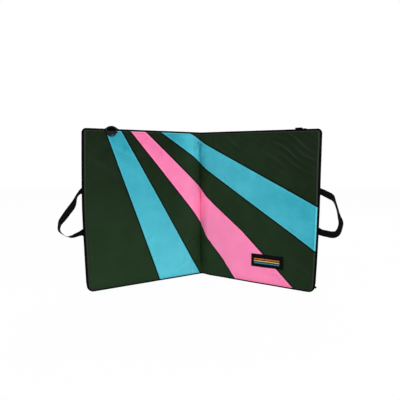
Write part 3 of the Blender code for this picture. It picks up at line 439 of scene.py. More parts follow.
def half_face(side, runs, ups, inset, lift):
    """World points of one half's landing face, at runs from the crease."""
    run = np.maximum(side * runs, 0.0)
    across, depth, up, front_across, front_depth = bend_in(side, run, ups, inset)
    drop = rim_shape(edge_distance(side, across, up))
    middle = (FOLD_GAP + HALF_ACROSS) / 2
    across_share = np.clip(np.abs(across - middle) / (HALF_ACROSS - middle), 0.0, 1.0)
    up_share = np.abs(2 * up / PAD_HEIGHT - 1)
    drop = drop - CROWN * (1 - across_share ** 2) * (1 - up_share ** 2) - lift
    places = to_world(side, across - front_across * drop, depth - front_depth * drop, up)
    low = 1 - np.clip(up / PAD_HEIGHT, 0.0, 1.0)
    places[:, 0] += CREASE_LEAN * low * (1 - ease(run / VALLEY_RUN[side]))
    return places


def face_points(runs, ups, inset=SEAM_INSET, lift=0.0):
    """World points of the landing face; left runs are negative, and lift stands them proud."""
    left = half_face(LEFT, runs, ups, inset, lift)
    right = half_face(RIGHT, runs, ups, inset, lift)
    return np.where((runs < 0)[:, None], left, right)


def rim_share(runs, ups):
    """How far each place of the cloth belongs to the puffed rim, and to its topstitching."""
    share = []
    for side in (LEFT, RIGHT):
        across, _, up, _, _ = bend_in(side, np.maximum(side * runs, 0.0), ups, SEAM_INSET)
        share.append(edge_distance(side, across, up))
    edge = np.where(runs < 0, *share)
    band = ease((RIM - TOPSTITCH_HALF - edge) / TOPSTITCH_HALF)
    stitched = np.exp(-((edge - RIM) / TOPSTITCH_HALF) ** 2)
    return band, stitched


# Colour borders in cloth lengths, from left to right: (run from the crease, height up the cloth)
BORDERS = (
    ((-0.6145, PAD_HEIGHT), (-0.2955, 0.0)),
    ((-0.5229, PAD_HEIGHT), (-0.0159, 0.0)),
    ((-0.4684, PAD_HEIGHT), (-0.0940, 0.4545), (0.0804, 0.2320), (0.1823, 0.1195), (0.2665, 0.0)),
    ((-0.3770, PAD_HEIGHT), (-0.0726, 0.6280), (0.1259, 0.4590), (0.3096, 0.3140), (0.6340, 0.0)),
    ((-0.2803, PAD_HEIGHT), (0.0279, 0.7098), (0.7507, 0.2389)),
    ((-0.0823, PAD_HEIGHT), (0.1220, 0.8113), (0.7516, 0.4921)),
)
PANELS = (
    ("outer_green_panel", "green_nylon", ("left_cover_outer_green",)),
    ("wide_cyan_stripe", "cyan_nylon", ("left_cover_wide_cyan",)),
    ("lower_green_panel", "green_nylon", ("left_cover_lower_green", "right_cover_fold_green")),
    ("pink_stripe", "pink_nylon", ("left_cover_pink", "right_cover_pink")),
    ("middle_green_panel", "green_nylon", ("left_cover_upper_green", "right_cover_middle_green")),
    ("narrow_cyan_stripe", "cyan_nylon", ("left_cover_short_cyan", "right_cover_cyan")),
    ("upper_green_panel", "green_nylon", ("left_cover_corner_green", "right_cover_upper_green")),
)
STRIPES = (1, 3, 5)


def border_heights(border, runs):
    """Height of a border at each run, its first and last stretches drawn on, and its slope there."""
    places = np.array(border)
    runs = np.asarray(runs, float)
    index = np.clip(np.searchsorted(places[:, 0], runs) - 1, 0, len(places) - 2)
    slopes = np.diff(places[:, 1]) / np.diff(places[:, 0])
    return places[index, 1] + slopes[index] * (runs - places[index, 0]), slopes[index]


def seam_depths(runs, ups):
    """How far the seams draw the face back, how near each place is to a seam (which, with the crease, also
    sets their painted shade), and to its ridge.
    """
    drawn = np.zeros(len(runs))
    near = np.zeros(len(runs))
    raised = np.zeros(len(runs))
    for index, border in enumerate(BORDERS):
        height, slope = border_heights(border, runs)
        away = (ups - height) / np.hypot(1.0, slope)
        inside = away if index + 1 in STRIPES else -away
        groove = np.exp(-((inside + SEAM_SHIFT) / SEAM_HALF) ** 4)
        ridge = np.exp(-((inside - SEAM_RIDGE_AWAY) / SEAM_RIDGE_HALF) ** 2)
        drawn += SEAM_GROOVE * groove - SEAM_RIDGE * ridge
        near = np.maximum(near, groove)
        raised = np.maximum(raised, ridge)
    crease = np.exp(-(runs / CREASE_HALF) ** 2)
    return drawn + CREASE_GROOVE * crease, np.maximum(near, crease * CREASE_PAINTED_SHADE), raised


# Soft wrinkles of the landing cover: run and height of their middle, reach along both, depth, spacing
WRINKLES = (
    (0.600, 0.800, 0.150, 0.110, 0.0018, 0.046),
    (0.240, 0.840, 0.120, 0.070, 0.0010, 0.050),
    (0.004, 0.830, 0.030, 0.055, 0.0020, 0.026),
    (-0.600, 0.760, 0.150, 0.150, 0.0006, 0.075),
    (0.660, 0.120, 0.110, 0.110, 0.0006, 0.060),
)
# Sharp crinkles beside the fold: their two ends (run, up)
CRINKLES = (
    ((-0.016, 0.862), (-0.004, 0.812)),
    ((-0.004, 0.812), (-0.015, 0.778)),
    ((0.018, 0.842), (0.006, 0.790)),
    ((-0.010, 0.700), (-0.003, 0.640)),
    ((0.012, 0.560), (0.004, 0.500)),
)
CREST_LIFT = 0.0020
CRINKLE_HALF = 0.0032
CRINKLE_DEPTH = 0.0016


def crinkle_share(runs, ups):
    """How near each place of the cloth is to a crinkle."""
    near = np.zeros(len(runs))
    for (run_a, up_a), (run_b, up_b) in CRINKLES:
        along = np.array((run_b - run_a, up_b - up_a))
        share = ((runs - run_a) * along[0] + (ups - up_a) * along[1]) / along.dot(along)
        share = np.clip(share, 0.0, 1.0)
        away = np.hypot(runs - run_a - along[0] * share, ups - up_a - along[1] * share)
        near = np.maximum(near, np.exp(-(away / CRINKLE_HALF) ** 2))
    return near


def wrinkle_lift(runs, ups):
    """Diagonal wrinkles, from upper left to lower right, that fade out around their middles."""
    lift = np.zeros(len(runs))
    for run, up, reach_run, reach_up, size, spacing in WRINKLES:
        share = np.exp(-((runs - run) / reach_run) ** 2 - ((ups - up) / reach_up) ** 2)
        drift = np.sin((runs * 0.8 - ups) / spacing * 0.9) * spacing / 7
        drift += np.sin(runs / spacing * 1.4) * spacing / 10
        phase = 2 * math.pi * (runs * 0.62 + ups + drift) / spacing
        lift += size * share * np.sin(phase) * (0.6 + 0.4 * np.sin(phase / 2.7 + runs / spacing))
    return lift - CRINKLE_DEPTH * crinkle_share(runs, ups)


def steps(low, high, size):
    """Even values from low to high, at about a size apart, leaving out the last."""
    count = max(round((high - low) / size), 1)
    return [low + (high - low) * step / count for step in range(count)]


FINE = 0.0018
MEDIUM = 0.0042
RIM_REACH = 0.022


def put(side, across, depth, up):
    """A world place from a place in a half's frame."""
    return HALF_FRAME[side] @ Vector((side * across, depth, up))


def new_object(name, data):
    """An object of some data, in the scene."""
    made = bpy.data.objects.new(name, data)
    bpy.context.scene.collection.objects.link(made)
    return made


@contextlib.contextmanager
def edited(mesh):
    """A mesh opened for editing, and written back at the end."""
    work = bmesh.new()
    work.from_mesh(mesh)
    yield work
    work.to_mesh(mesh)
    work.free()


def turn_faces(work, back=1):
    """Reverse a sheet's faces where they look to the back, or to the front with back = -1."""
    if sum((face.normal * face.calc_area() for face in work.faces), Vector()).y * back > 0:
        bmesh.ops.reverse_faces(work, faces=work.faces)


def vertex_places(mesh):
    """Places of a mesh's vertices, one to a row."""
    places = np.zeros(len(mesh.vertices) * 3)
    mesh.vertices.foreach_get("co", places)
    return places.reshape(-1, 3)


def set_places(mesh, places):
    """Move a mesh's vertices to places, one to a row."""
    mesh.vertices.foreach_set("co", places.ravel())


def add_values(mesh, name, values):
    """A value for each vertex of a mesh, which its material reads by name."""
    mesh.attributes.new(name, "FLOAT", "POINT").data.foreach_set("value", values)


def thicken(piece, thickness, offset):
    """Give a sheet its thickness, to both sides of it or to its back."""
    solid = piece.modifiers.new("thickness", "SOLIDIFY")
    solid.thickness = thickness
    solid.offset = offset
    bpy.ops.object.modifier_apply(modifier=solid.name)


def blend_fold(piece):
    """Bake a piece's placement into its mesh."""
    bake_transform(piece)


def cloth_grid(name, columns, rows):
    """A grid whose corners are at (column, 0, row)."""
    bpy.ops.mesh.primitive_grid_add(x_subdivisions=len(columns) - 1, y_subdivisions=len(rows) - 1, size=2.0)
    grid = bpy.context.object
    grid.name = name
    places = vertex_places(grid.data)
    column = np.rint((places[:, 0] + 1) / 2 * (len(columns) - 1)).astype(int)
    row = np.rint((places[:, 1] + 1) / 2 * (len(rows) - 1)).astype(int)
    flat = np.stack((np.array(columns)[column], np.zeros(len(places)), np.array(rows)[row]), axis=-1)
    set_places(grid.data, flat)
    grid.data.update()
    return grid


def cut_borders(grid):
    """Cut the flat cloth along each border, and a little to both sides of it."""
    def cut(faces, place, square):
        """Cut some faces by the plane through a place."""
        edges = list({edge for face in faces for edge in face.edges})
        verts = list({vert for face in faces for vert in face.verts})
        geometry = faces + edges + verts
        bmesh.ops.bisect_plane(work, geom=geometry, dist=FINE / 40, plane_co=place, plane_no=square)

    with edited(grid.data) as work:
        for run in sorted({run for border in BORDERS for run, _ in border[1:-1]}):
            cut(work.faces[:], Vector((run, 0.0, 0.0)), Vector((1.0, 0.0, 0.0)))
        for border in BORDERS:
            for index, ((run_a, up_a), (run_b, up_b)) in enumerate(zip(border, border[1:])):
                low = run_a if index > 0 else -math.inf
                high = run_b if index + 2 < len(border) else math.inf
                across = Vector((-(up_b - up_a), 0.0, run_b - run_a)).normalized()
                for shift in SEAM_CUTS:
                    faces = [face for face in work.faces if low < face.calc_center_median().x < high]
                    cut(faces, Vector((run_a, 0.0, up_a)) + across * shift, across)


SIM_CELL = 0.0085
SIM_FRAMES = 20
SIM_CAP = 0.0035
CLOTH = {
    "vertex_group_mass": "held", "quality": 5, "mass": 0.2, "tension_stiffness": 20.0,
    "compression_stiffness": 20.0, "shear_stiffness": 8.0, "bending_stiffness": 0.6, "shrink_min": -0.02,
    "use_pressure": True,
}


def run_cloth(piece, settings, frames=SIM_FRAMES):
    """Step a Cloth modifier through its frames, and return the places its vertices came to."""
    step = piece.modifiers.new("cloth", "CLOTH")
    for name, value in settings.items():
        setattr(step.settings, name, value)
    step.settings.effector_weights.gravity = 0.0
    step.collision_settings.use_collision = False
    step.point_cache.frame_end = frames
    scene = bpy.context.scene
    for number in range(1, frames + 1):
        scene.frame_set(number)
    graph = bpy.context.evaluated_depsgraph_get()
    places = vertex_places(piece.evaluated_get(graph).data)
    piece.modifiers.remove(step)
    scene.frame_set(1)
    return places


def press_out(piece, held, cap, settings, frames=SIM_FRAMES):
    """How far a cover is pressed out by its foam from its held places, and never past a cap."""
    group = piece.vertex_groups.new(name="held")
    for index, weight in enumerate(held):
        group.add([index], float(weight), "REPLACE")
    moved = run_cloth(piece, {**CLOTH, **settings}, frames) - vertex_places(piece.data)
    piece.vertex_groups.clear()
    reach = np.linalg.norm(moved, axis=1)
    return moved * np.minimum(1.0, cap / np.maximum(reach, FINE / 100))[:, None]


def landing_swell():
    """Simulate the landing cover, held along its seams, and return how far it swells on a grid."""
    columns = steps(-RUN_EDGE[LEFT], RUN_EDGE[RIGHT], SIM_CELL) + [RUN_EDGE[RIGHT]]
    rows = steps(0.0, PAD_HEIGHT, SIM_CELL) + [PAD_HEIGHT]
    shape = (len(rows), len(columns))
    sheet = cloth_grid("landing_sheet_simulation", columns, rows)
    flat = vertex_places(sheet.data)
    wave = np.array([noise.noise(Vector((run, 0.0, up)) / RUMPLE) for run, _, up in flat]) * SEAM_RIDGE / 2
    start = face_points(flat[:, 0], flat[:, 2], lift=wave)
    front = face_points(flat[:, 0], flat[:, 2], lift=wave + CROWN) - start
    front /= np.linalg.norm(front, axis=1)[:, None]
    set_places(sheet.data, start)
    group = sheet.vertex_groups.new(name="held")
    _, near, _ = seam_depths(flat[:, 0], flat[:, 2])
    for index, (run, _, up) in enumerate(flat):
        rim = min(up, PAD_HEIGHT - up, RUN_EDGE[RIGHT] - run, run + RUN_EDGE[LEFT]) < RIM_REACH
        group.add([index], 1.0 if rim else clamp(near[index] * 1.4, 0.0, 1.0), "REPLACE")
    moved = run_cloth(sheet, {**CLOTH, "uniform_pressure_force": 0.6, "time_scale": 0.8}) - start
    swell = np.clip((moved * front).sum(axis=1), -SIM_CAP, SIM_CAP)
    column = np.rint((flat[:, 0] - columns[0]) / (columns[-1] - columns[0]) * (len(columns) - 1)).astype(int)
    row = np.rint(flat[:, 2] / PAD_HEIGHT * (len(rows) - 1)).astype(int)
    grid = np.zeros(shape)
    grid[row, column] = swell
    bpy.data.objects.remove(sheet, do_unlink=True)
    return columns, rows, grid


def spline_weights(share):
    """Cubic B-spline weights of four neighbours."""
    rest = 1 - share
    return np.stack((rest ** 3, 3 * share ** 3 - 6 * share ** 2 + 4, 3 * rest ** 3 - 6 * rest ** 2 + 4,
                     share ** 3)) / 6


def sample_swell(swell, runs, ups):
    """The swell at places of the cloth, smoothed between the places of its grid."""
    columns, rows, grid = swell
    x = (runs - columns[0]) / (columns[-1] - columns[0]) * (len(columns) - 1)
    x = np.clip(x, 0, len(columns) - 1.001)
    y = np.clip(ups / PAD_HEIGHT * (len(rows) - 1), 0, len(rows) - 1.001)
    left, low = np.floor(x).astype(int), np.floor(y).astype(int)
    across, along = spline_weights(x - left), spline_weights(y - low)
    total = np.zeros(len(runs))
    for i in range(4):
        for j in range(4):
            column = np.clip(left + i - 1, 0, len(columns) - 1)
            row = np.clip(low + j - 1, 0, len(rows) - 1)
            total += grid[row, column] * across[i] * along[j]
    return total


def set_cloth_map(mesh, runs, ups):
    """A UV map in metres of cloth."""
    layer = mesh.uv_layers.new(name="cloth")
    corner = np.zeros(len(mesh.loops), int)
    mesh.loops.foreach_get("vertex_index", corner)
    layer.data.foreach_set("uv", np.stack((runs[corner], ups[corner]), axis=-1).ravel())


def landing_cover(swell):
    """The whole landing cover as one sheet, then its sewn panels as pieces of their own."""
    halves = {}
    for side in (LEFT, RIGHT):
        valley, edge = VALLEY_RUN[side], RUN_EDGE[side]
        halves[side] = steps(0.0, valley, FINE * 1.4) + steps(valley, edge - RIM_REACH, MEDIUM)
        halves[side] += steps(edge - RIM_REACH, edge, FINE) + [edge]
    columns = [-run for run in reversed(halves[LEFT][1:])] + halves[RIGHT]
    rim = steps(0.0, RIM_REACH, FINE)
    rows = rim + steps(RIM_REACH, PAD_HEIGHT - RIM_REACH, MEDIUM)
    rows += [PAD_HEIGHT - RIM_REACH] + [PAD_HEIGHT - up for up in reversed(rim)]
    sheet = cloth_grid("landing_cover", columns, rows)
    cut_borders(sheet)
    mesh = sheet.data
    runs, _, ups = vertex_places(mesh).T
    drawn, near, raised = seam_depths(runs, ups)
    band, stitched = rim_share(runs, ups)
    lift = sample_swell(swell, runs, ups) - drawn + wrinkle_lift(runs, ups)
    set_places(mesh, face_points(runs, ups, lift=lift))
    set_cloth_map(mesh, runs, ups)
    # Painted shade: the cloth is painted darker in its seams, along the crease, in the topstitch groove and
    # in the crinkles
    dark = np.maximum(near, stitched * STITCH_PAINTED_SHADE)
    add_values(mesh, "seam", np.maximum(dark, CRINKLE_PAINTED_SHADE * crinkle_share(runs, ups)))
    # Painted highlights: the cloth is painted lighter on its puffed rim, its seam ridges and its wrinkle
    # crests
    crest = np.clip(wrinkle_lift(runs, ups) / CREST_LIFT, 0.0, 1.0)
    painted_highlight = np.maximum(np.maximum(band, raised * RIDGE_PAINTED_HIGHLIGHT), crest * CREST_PAINTED_HIGHLIGHT)
    add_values(mesh, "painted_highlight", painted_highlight * (1 - near))
    # Painted light: the landing cloth is painted lighter towards the floor and beside the fold; the casing
    # and patch use this attribute for scuffing
    add_values(mesh, "wear_and_painted_light", painted_light_share(runs, ups))
    corners = [list(face.vertices) for face in mesh.polygons]
    middle = np.array([(np.mean(runs[face]), np.mean(ups[face])) for face in corners])
    index = sum((middle[:, 1] > border_heights(border, middle[:, 0])[0]).astype(int) for border in BORDERS)
    mesh.attributes.new("panel", "INT", "FACE").data.foreach_set("value", index)
    for number, (name, slot_name, nodes) in enumerate(PANELS):
        piece = new_object(name, mesh.copy())
        with edited(piece.data) as work:
            layer = work.faces.layers.int["panel"]
            others = [face for face in work.faces if face[layer] != number]
            bmesh.ops.delete(work, geom=others, context="FACES")
            turn_faces(work)
        piece.data.shade_smooth()
        blend_fold(piece)
        finish_piece(piece, slot_name, nodes)
    bpy.data.objects.remove(sheet, do_unlink=True)


# Painted light on the coating: how much lighter it is painted at the floor, all over and beside the fold, and
# where along the cloth the left half's painted light gives way to the right half's
FLOOR_PAINTED_LIGHT = {LEFT: 1.10, RIGHT: 0.55}
LEFT_PAINTED_LIGHT = -0.06
RIGHT_PAINTED_LIGHT = 0.50
RIGHT_LEVEL = 0.30
FOLD_PAINTED_LIGHT = 1.20
FOLD_PAINTED_LIGHT_REACH = 0.13
PAINTED_LIGHT_TURN = (0.15, 0.20)


def painted_light_share(runs, ups):
    """How much painted light lightens the coating: towards the floor on the left half, towards the fold on
    the right.
    """
    low = 1 - np.clip(ups / PAD_HEIGHT, 0.0, 1.0)
    left = FLOOR_PAINTED_LIGHT[LEFT] * low + LEFT_PAINTED_LIGHT
    left += FOLD_PAINTED_LIGHT * np.exp(-(runs / FOLD_PAINTED_LIGHT_REACH) ** 2) * (1 - low)
    right = RIGHT_PAINTED_LIGHT - np.maximum(runs, 0.0) ** 2 + FLOOR_PAINTED_LIGHT[RIGHT] * (low - RIGHT_LEVEL)
    side = ease((runs + PAINTED_LIGHT_TURN[0]) / PAINTED_LIGHT_TURN[1])
    return np.clip(left * (1 - side) + right * side, 0.0, 1.0)


def finish_piece(piece, slot_name, nodes, body=None):
    """Material and slot of a piece, the nodes it replaces, and the body it rides on."""
    piece.data.materials.append(FINISHES[slot_name])
    if nodes:
        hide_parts(*nodes)
    if body:
        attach(piece, body)


def curve_mesh(curve, weld):
    """The mesh of a curve, with its doubled corners welded."""
    holder = new_object(f"{curve.name}_curve", curve)
    mesh = bpy.data.meshes.new_from_object(holder.evaluated_get(bpy.context.evaluated_depsgraph_get()))
    bpy.data.objects.remove(holder, do_unlink=True)
    with edited(mesh) as work:
        bmesh.ops.remove_doubles(work, verts=work.verts, dist=weld)
        bmesh.ops.recalc_face_normals(work, faces=work.faces)
    mesh.materials.clear()
    return mesh


def add_spline(curve, points, closed):
    """A run of straight pieces through points, in a curve."""
    spline = curve.splines.new("POLY")
    spline.points.add(len(points) - 1)
    for point, place in zip(spline.points, points):
        point.co = (*place, 1.0)
    spline.use_cyclic_u = closed


def bead(name, points, radius, closed=False):
    """A round bead along points, as a mesh."""
    curve = bpy.data.curves.new(name, "CURVE")
    curve.dimensions = "3D"
    curve.bevel_depth = radius
    curve.bevel_resolution = 3
    curve.use_fill_caps = not closed
    add_spline(curve, points, closed)
    mesh = curve_mesh(curve, radius / 100)
    mesh.shade_smooth()
    return new_object(name, mesh)


def front_piping():
    """The bead round the whole landing side, which runs on through the fold at top and bottom."""
    spacing = FINE * 3
    first, last = -RUN_EDGE[LEFT], RUN_EDGE[RIGHT]
    low = [(run, 0.0) for run in steps(first, last, spacing)]
    right = [(last, up) for up in steps(0.0, PAD_HEIGHT, spacing)]
    high = [(run, PAD_HEIGHT) for run in reversed(steps(first, last, spacing)[1:] + [last])]
    left = [(first, PAD_HEIGHT - up) for up in steps(0.0, PAD_HEIGHT, spacing)]
    ring = np.array(low + right + high + left)
    wave = [noise.noise(Vector((run, up, 0.0)) / MOTTLE) for run, up in ring]
    wave = np.array(wave) * PIPING_RADIUS / 4
    points = face_points(ring[:, 0], ring[:, 1], inset=PIPING_INSET, lift=wave)
    points[:, 2] = np.maximum(points[:, 2], PIPING_RADIUS)
    piece = bead("front_piping", points, PIPING_RADIUS, closed=True)
    blend_fold(piece)
    finish_piece(piece, "black_nylon", ["left_front_piping", "right_front_piping"])


# Casing of each half: gussets and ground cover over the foam, as one padded body
CASING_FRONT = LANDING + PIPING_DROP
CASING_BACK = GROUND - 0.0030
CASING_INSET = 0.0016
CASING_BEHIND = 0.0055
CASING_VOXEL = 0.0065
CASING_CAP = 0.0042
CASING_CLOTH = {"mass": 0.3, "bending_stiffness": 0.8, "shrink_min": -0.015, "uniform_pressure_force": 3.0}
GROUND_LIMIT = GROUND - 0.0009
SCUFF_START = CASING_BACK - 0.012
SCUFF_REACH = 0.010
FLOOR_CLEAR = 0.0003


def quarter(centre, radius, start, count=6):
    """Points round a quarter of a circle, from an angle in degrees."""
    points = []
    for step in range(count + 1):
        angle = math.radians(start + 90.0 * step / count)
        points.append((centre[0] + radius * math.cos(angle), centre[1] + radius * math.sin(angle)))
    return points


def select_edges(piece, wanted):
    """Select, in edit mode, only the edges that are wanted."""
    bpy.context.tool_settings.mesh_select_mode = (False, True, False)
    bpy.ops.mesh.select_all(action="DESELECT")
    work = bmesh.from_edit_mesh(piece.data)
    for edge in work.edges:
        if wanted(edge):
            edge.select_set(True)
    bmesh.update_edit_mesh(piece.data)


def behind_cover(side, places):
    """Keep a casing behind the landing cover, and draw its outer side in towards the ground side."""
    across, depth, up = np.abs(places[:, 0]), places[:, 1].copy(), places[:, 2]
    back_share = np.clip((depth - CASING_FRONT) / (CASING_BACK - CASING_FRONT), 0.0, 1.0)
    drawn = (HALF_ACROSS - outer_side(side, up)) + OUTER_DRAW * back_share
    across = across - drawn * np.clip(across / HALF_ACROSS, 0.0, 1.0) ** 8
    lengths = np.linspace(0.0, RUN_EDGE[side], 400)
    for share in (VALLEY_END_SHARE, 1.0):
        face_across, face_depth = profile(side, lengths, share)
        depth = np.maximum(depth, np.interp(across, face_across, face_depth) + CASING_BEHIND)
    return np.stack((side * across, depth, up), axis=-1)


def casing(side, side_name):
    """A closed cushion: cube, rounded corners, voxels, then pressed out by its foam."""
    low, high = CASING_INSET, FACE_HEIGHT - CASING_INSET
    near, far = FOLD_GAP, HALF_ACROSS - CASING_INSET
    size = (far - near, CASING_BACK - CASING_FRONT, high - low)
    centre = (side * (near + far) / 2, (CASING_FRONT + CASING_BACK) / 2, (low + high) / 2)
    bpy.ops.mesh.primitive_cube_add(size=1.0, location=centre)
    piece = bpy.context.object
    piece.name = f"{side_name}_casing"
    piece.scale = size
    bpy.ops.object.transform_apply(location=True, rotation=True, scale=True)
    bpy.ops.object.mode_set(mode="EDIT")
    corners = ((far, low, BOTTOM_CORNER, 6), (far, high, TOP_CORNER, 5), (near, low, FOLD_CORNER, 3),
               (near, high, FOLD_CORNER, 3))
    for across, up, radius, count in corners:
        def on_corner(edge):
            """Whether an edge runs from front to back at this corner."""
            return all(math.hypot(abs(vert.co.x) - across, vert.co.z - up) < FINE for vert in edge.verts)

        select_edges(piece, on_corner)
        bpy.ops.mesh.bevel(offset=radius, offset_type="OFFSET", segments=count)
    bpy.ops.object.mode_set(mode="OBJECT")
    remesh = piece.modifiers.new("voxels", "REMESH")
    remesh.mode = "VOXEL"
    remesh.voxel_size = CASING_VOXEL
    bpy.ops.object.modifier_apply(modifier=remesh.name)
    places = behind_cover(side, vertex_places(piece.data))
    set_places(piece.data, places)
    across, depth, up = np.abs(places[:, 0]), places[:, 1], places[:, 2]
    from_rim = np.minimum.reduce((outer_side(side, up) - across, up, FACE_HEIGHT - up, across))
    from_seam = np.minimum(np.abs(depth - CASING_FRONT), np.abs(depth - CASING_BACK))
    held = (from_rim < CASING_VOXEL * 1.2) & (from_seam < CASING_VOXEL)
    moved = press_out(piece, held, CASING_CAP, CASING_CLOTH)
    moved[:, 1] = np.where(depth < (CASING_FRONT + CASING_BACK) / 2, 0.0, moved[:, 1])
    places = places + moved
    places[:, 1] = np.minimum(places[:, 1], GROUND_LIMIT)
    places[:, 2] = np.maximum(places[:, 2], FLOOR_CLEAR)
    set_places(piece.data, places)
    add_values(piece.data, "wear_and_painted_light", ease((places[:, 1] - SCUFF_START) / SCUFF_REACH))
    piece.data.transform(HALF_FRAME[side])
    piece.data.shade_smooth()
    names = ("landing_foam", "core_foam", "base_foam", "ground_cover", "gusset_bottom", "gusset_outer",
             "gusset_top", "gusset_fold")
    finish_piece(piece, "black_nylon", [f"{side_name}_{name}" for name in names], BODY[side])


LINING_REACH = 0.042
LINING_BEHIND = 0.0035
LINING_END = 0.009


def fold_lining():
    """The black lining behind the valley, which is what shows between the halves from the ground side."""
    columns = steps(-LINING_REACH, LINING_REACH, FINE * 1.4) + [LINING_REACH]
    rows = steps(0.0, PAD_HEIGHT, MEDIUM * 2) + [PAD_HEIGHT]
    piece = cloth_grid("fold_lining", columns, rows)
    runs, _, ups = vertex_places(piece.data).T
    wave = [noise.noise(Vector((run, 0.0, up)) / RUMPLE) for run, up in zip(runs, ups)]
    wave = np.array(wave) * LINING_BEHIND / 4
    places = face_points(runs, ups, inset=LINING_END, lift=wave - LINING_BEHIND)
    set_places(piece.data, places)
    with edited(piece.data) as work:
        turn_faces(work, -1)
    piece.data.shade_smooth()
    blend_fold(piece)
    finish_piece(piece, "black_nylon", ["fold_web"])


BACK_PIPING_RADIUS = 0.0032
BACK_PIPING_INSET = 0.0033


def back_piping(side, side_name):
    """The bead round the ground side of a half."""
    inset = BACK_PIPING_INSET
    side_inset = inset + OUTER_DRAW
    far_low = outer_side(side, BOTTOM_CORNER) - side_inset
    far_high = outer_side(side, FACE_HEIGHT - TOP_CORNER) - side_inset
    low, high = inset, FACE_HEIGHT - inset
    bottom, top, fold = BOTTOM_CORNER - inset, TOP_CORNER - inset, FOLD_CORNER - inset
    near = FOLD_GAP + inset
    ring = quarter((far_low - bottom, low + bottom), bottom, -90.0)
    ring += [(outer_side(side, up) - side_inset, up) for up in steps(low + bottom, high - top, MOTTLE)[1:]]
    ring += quarter((far_high - top, high - top), top, 0.0)
    ring += quarter((near + fold, high - fold), fold, 90.0, 4)
    ring += quarter((near + fold, low + fold), fold, 180.0, 4)
    depth = GROUND - BACK_PIPING_RADIUS
    points = []
    for start, end in zip(ring, ring[1:] + ring[:1]):
        count = max(round(math.dist(start, end) / (FINE * 5)), 1)
        points += [tuple(Vector(start).lerp(Vector(end), step / count)) for step in range(count)]
    places = []
    for across, up in points:
        wave = noise.noise(Vector((across, 0.0, up)) / MOTTLE) * BACK_PIPING_RADIUS / 4
        places.append(put(side, across, depth + wave, up))
    piece = bead(f"{side_name}_back_piping_bead", places, BACK_PIPING_RADIUS, closed=True)
    finish_piece(piece, "black_nylon", [f"{side_name}_back_piping"], BODY[side])


# Webbing
WEBBING_WIDTH = 0.038
WEBBING_THICK = 0.0016
RIBBON_COLUMNS = 6


def ribbon(name, stations, width, thickness):
    """Webbing through (centre, width direction) stations in world space, with round selvedges."""
    bpy.ops.mesh.primitive_grid_add(x_subdivisions=len(stations) - 1, y_subdivisions=RIBBON_COLUMNS, size=2.0)
    piece = bpy.context.object
    piece.name = name
    lengths = [0.0]
    for (before, _), (after, _) in zip(stations, stations[1:]):
        lengths.append(lengths[-1] + (after - before).length)
    runs, sides = [], []
    for vertex in piece.data.vertices:
        index = round((vertex.co.x + 1) / 2 * (len(stations) - 1))
        share = vertex.co.y / 2
        centre, direction = stations[index]
        runs.append(lengths[index])
        sides.append(share * width)
        vertex.co = centre + direction * width * share
    set_cloth_map(piece.data, np.array(runs), np.array(sides))
    thicken(piece, thickness, 0.0)
    smooth = piece.modifiers.new("selvedge", "SUBSURF")
    smooth.levels = smooth.render_levels = 1
    bpy.ops.object.modifier_apply(modifier=smooth.name)
    piece.data.shade_smooth()
    return piece


def smooth_row(rows, position):
    """A Catmull-Rom value between table rows."""
    index = min(int(position), len(rows) - 2)
    share = position - index
    before = rows[max(index - 1, 0)]
    after = rows[min(index + 2, len(rows) - 1)]
    values = []
    for a, b, c, d in zip(before, rows[index], rows[index + 1], after):
        square = share * share
        value = 2 * b + (c - a) * share + (2 * a - 5 * b + 4 * c - d) * square
        values.append((value + (3 * b - a - 3 * c + d) * square * share) / 2)
    return values


# Handle paths: out from the seam, up from the middle, and how much of the webbing's width shows
HANDLE_SPACING = 0.229
HANDLE_DEPTH = 0.018
HANDLE_ROOT_STRAIGHT = 0.010
HANDLE_ROOT_SUNK = 0.004
HANDLE_FOLD_REACH = 0.060
HANDLE_FOLD_LEAST = 0.12
HANDLE_STATIONS = 110
LEFT_HANDLE_REACH = 0.134
RIGHT_HANDLE_REACH = 0.121
LEFT_HANDLE_PATH = (
    (0.000, 0.505, 1.20), (0.035, 0.500, 1.00), (0.067, 0.494, 0.72), (0.116, 0.474, 0.47),
    (0.179, 0.439, 0.34), (0.239, 0.390, 0.26), (0.291, 0.328, 0.34), (0.332, 0.260, 0.54),
    (0.381, 0.202, 0.71), (0.436, 0.149, 0.80),
    (0.507, 0.092, 0.83), (0.576, 0.045, 0.83), (0.654, -0.016, 0.81), (0.731, -0.077, 0.77),
    (0.801, -0.128, 0.71), (0.870, -0.180, 0.61), (0.917, -0.232, 0.42), (0.947, -0.285, 0.28),
    (0.965, -0.339, 0.23), (0.959, -0.394, 0.23), (0.916, -0.442, 0.20), (0.845, -0.485, 0.15),
    (0.774, -0.520, 0.09), (0.709, -0.545, 0.05), (0.635, -0.558, 0.25), (0.553, -0.563, 0.45),
    (0.456, -0.565, 0.63), (0.357, -0.550, 0.71), (0.249, -0.530, 0.73), (0.156, -0.513, 0.76),
    (0.079, -0.501, 0.90), (0.035, -0.497, 1.06), (0.000, -0.495, 1.25),
)
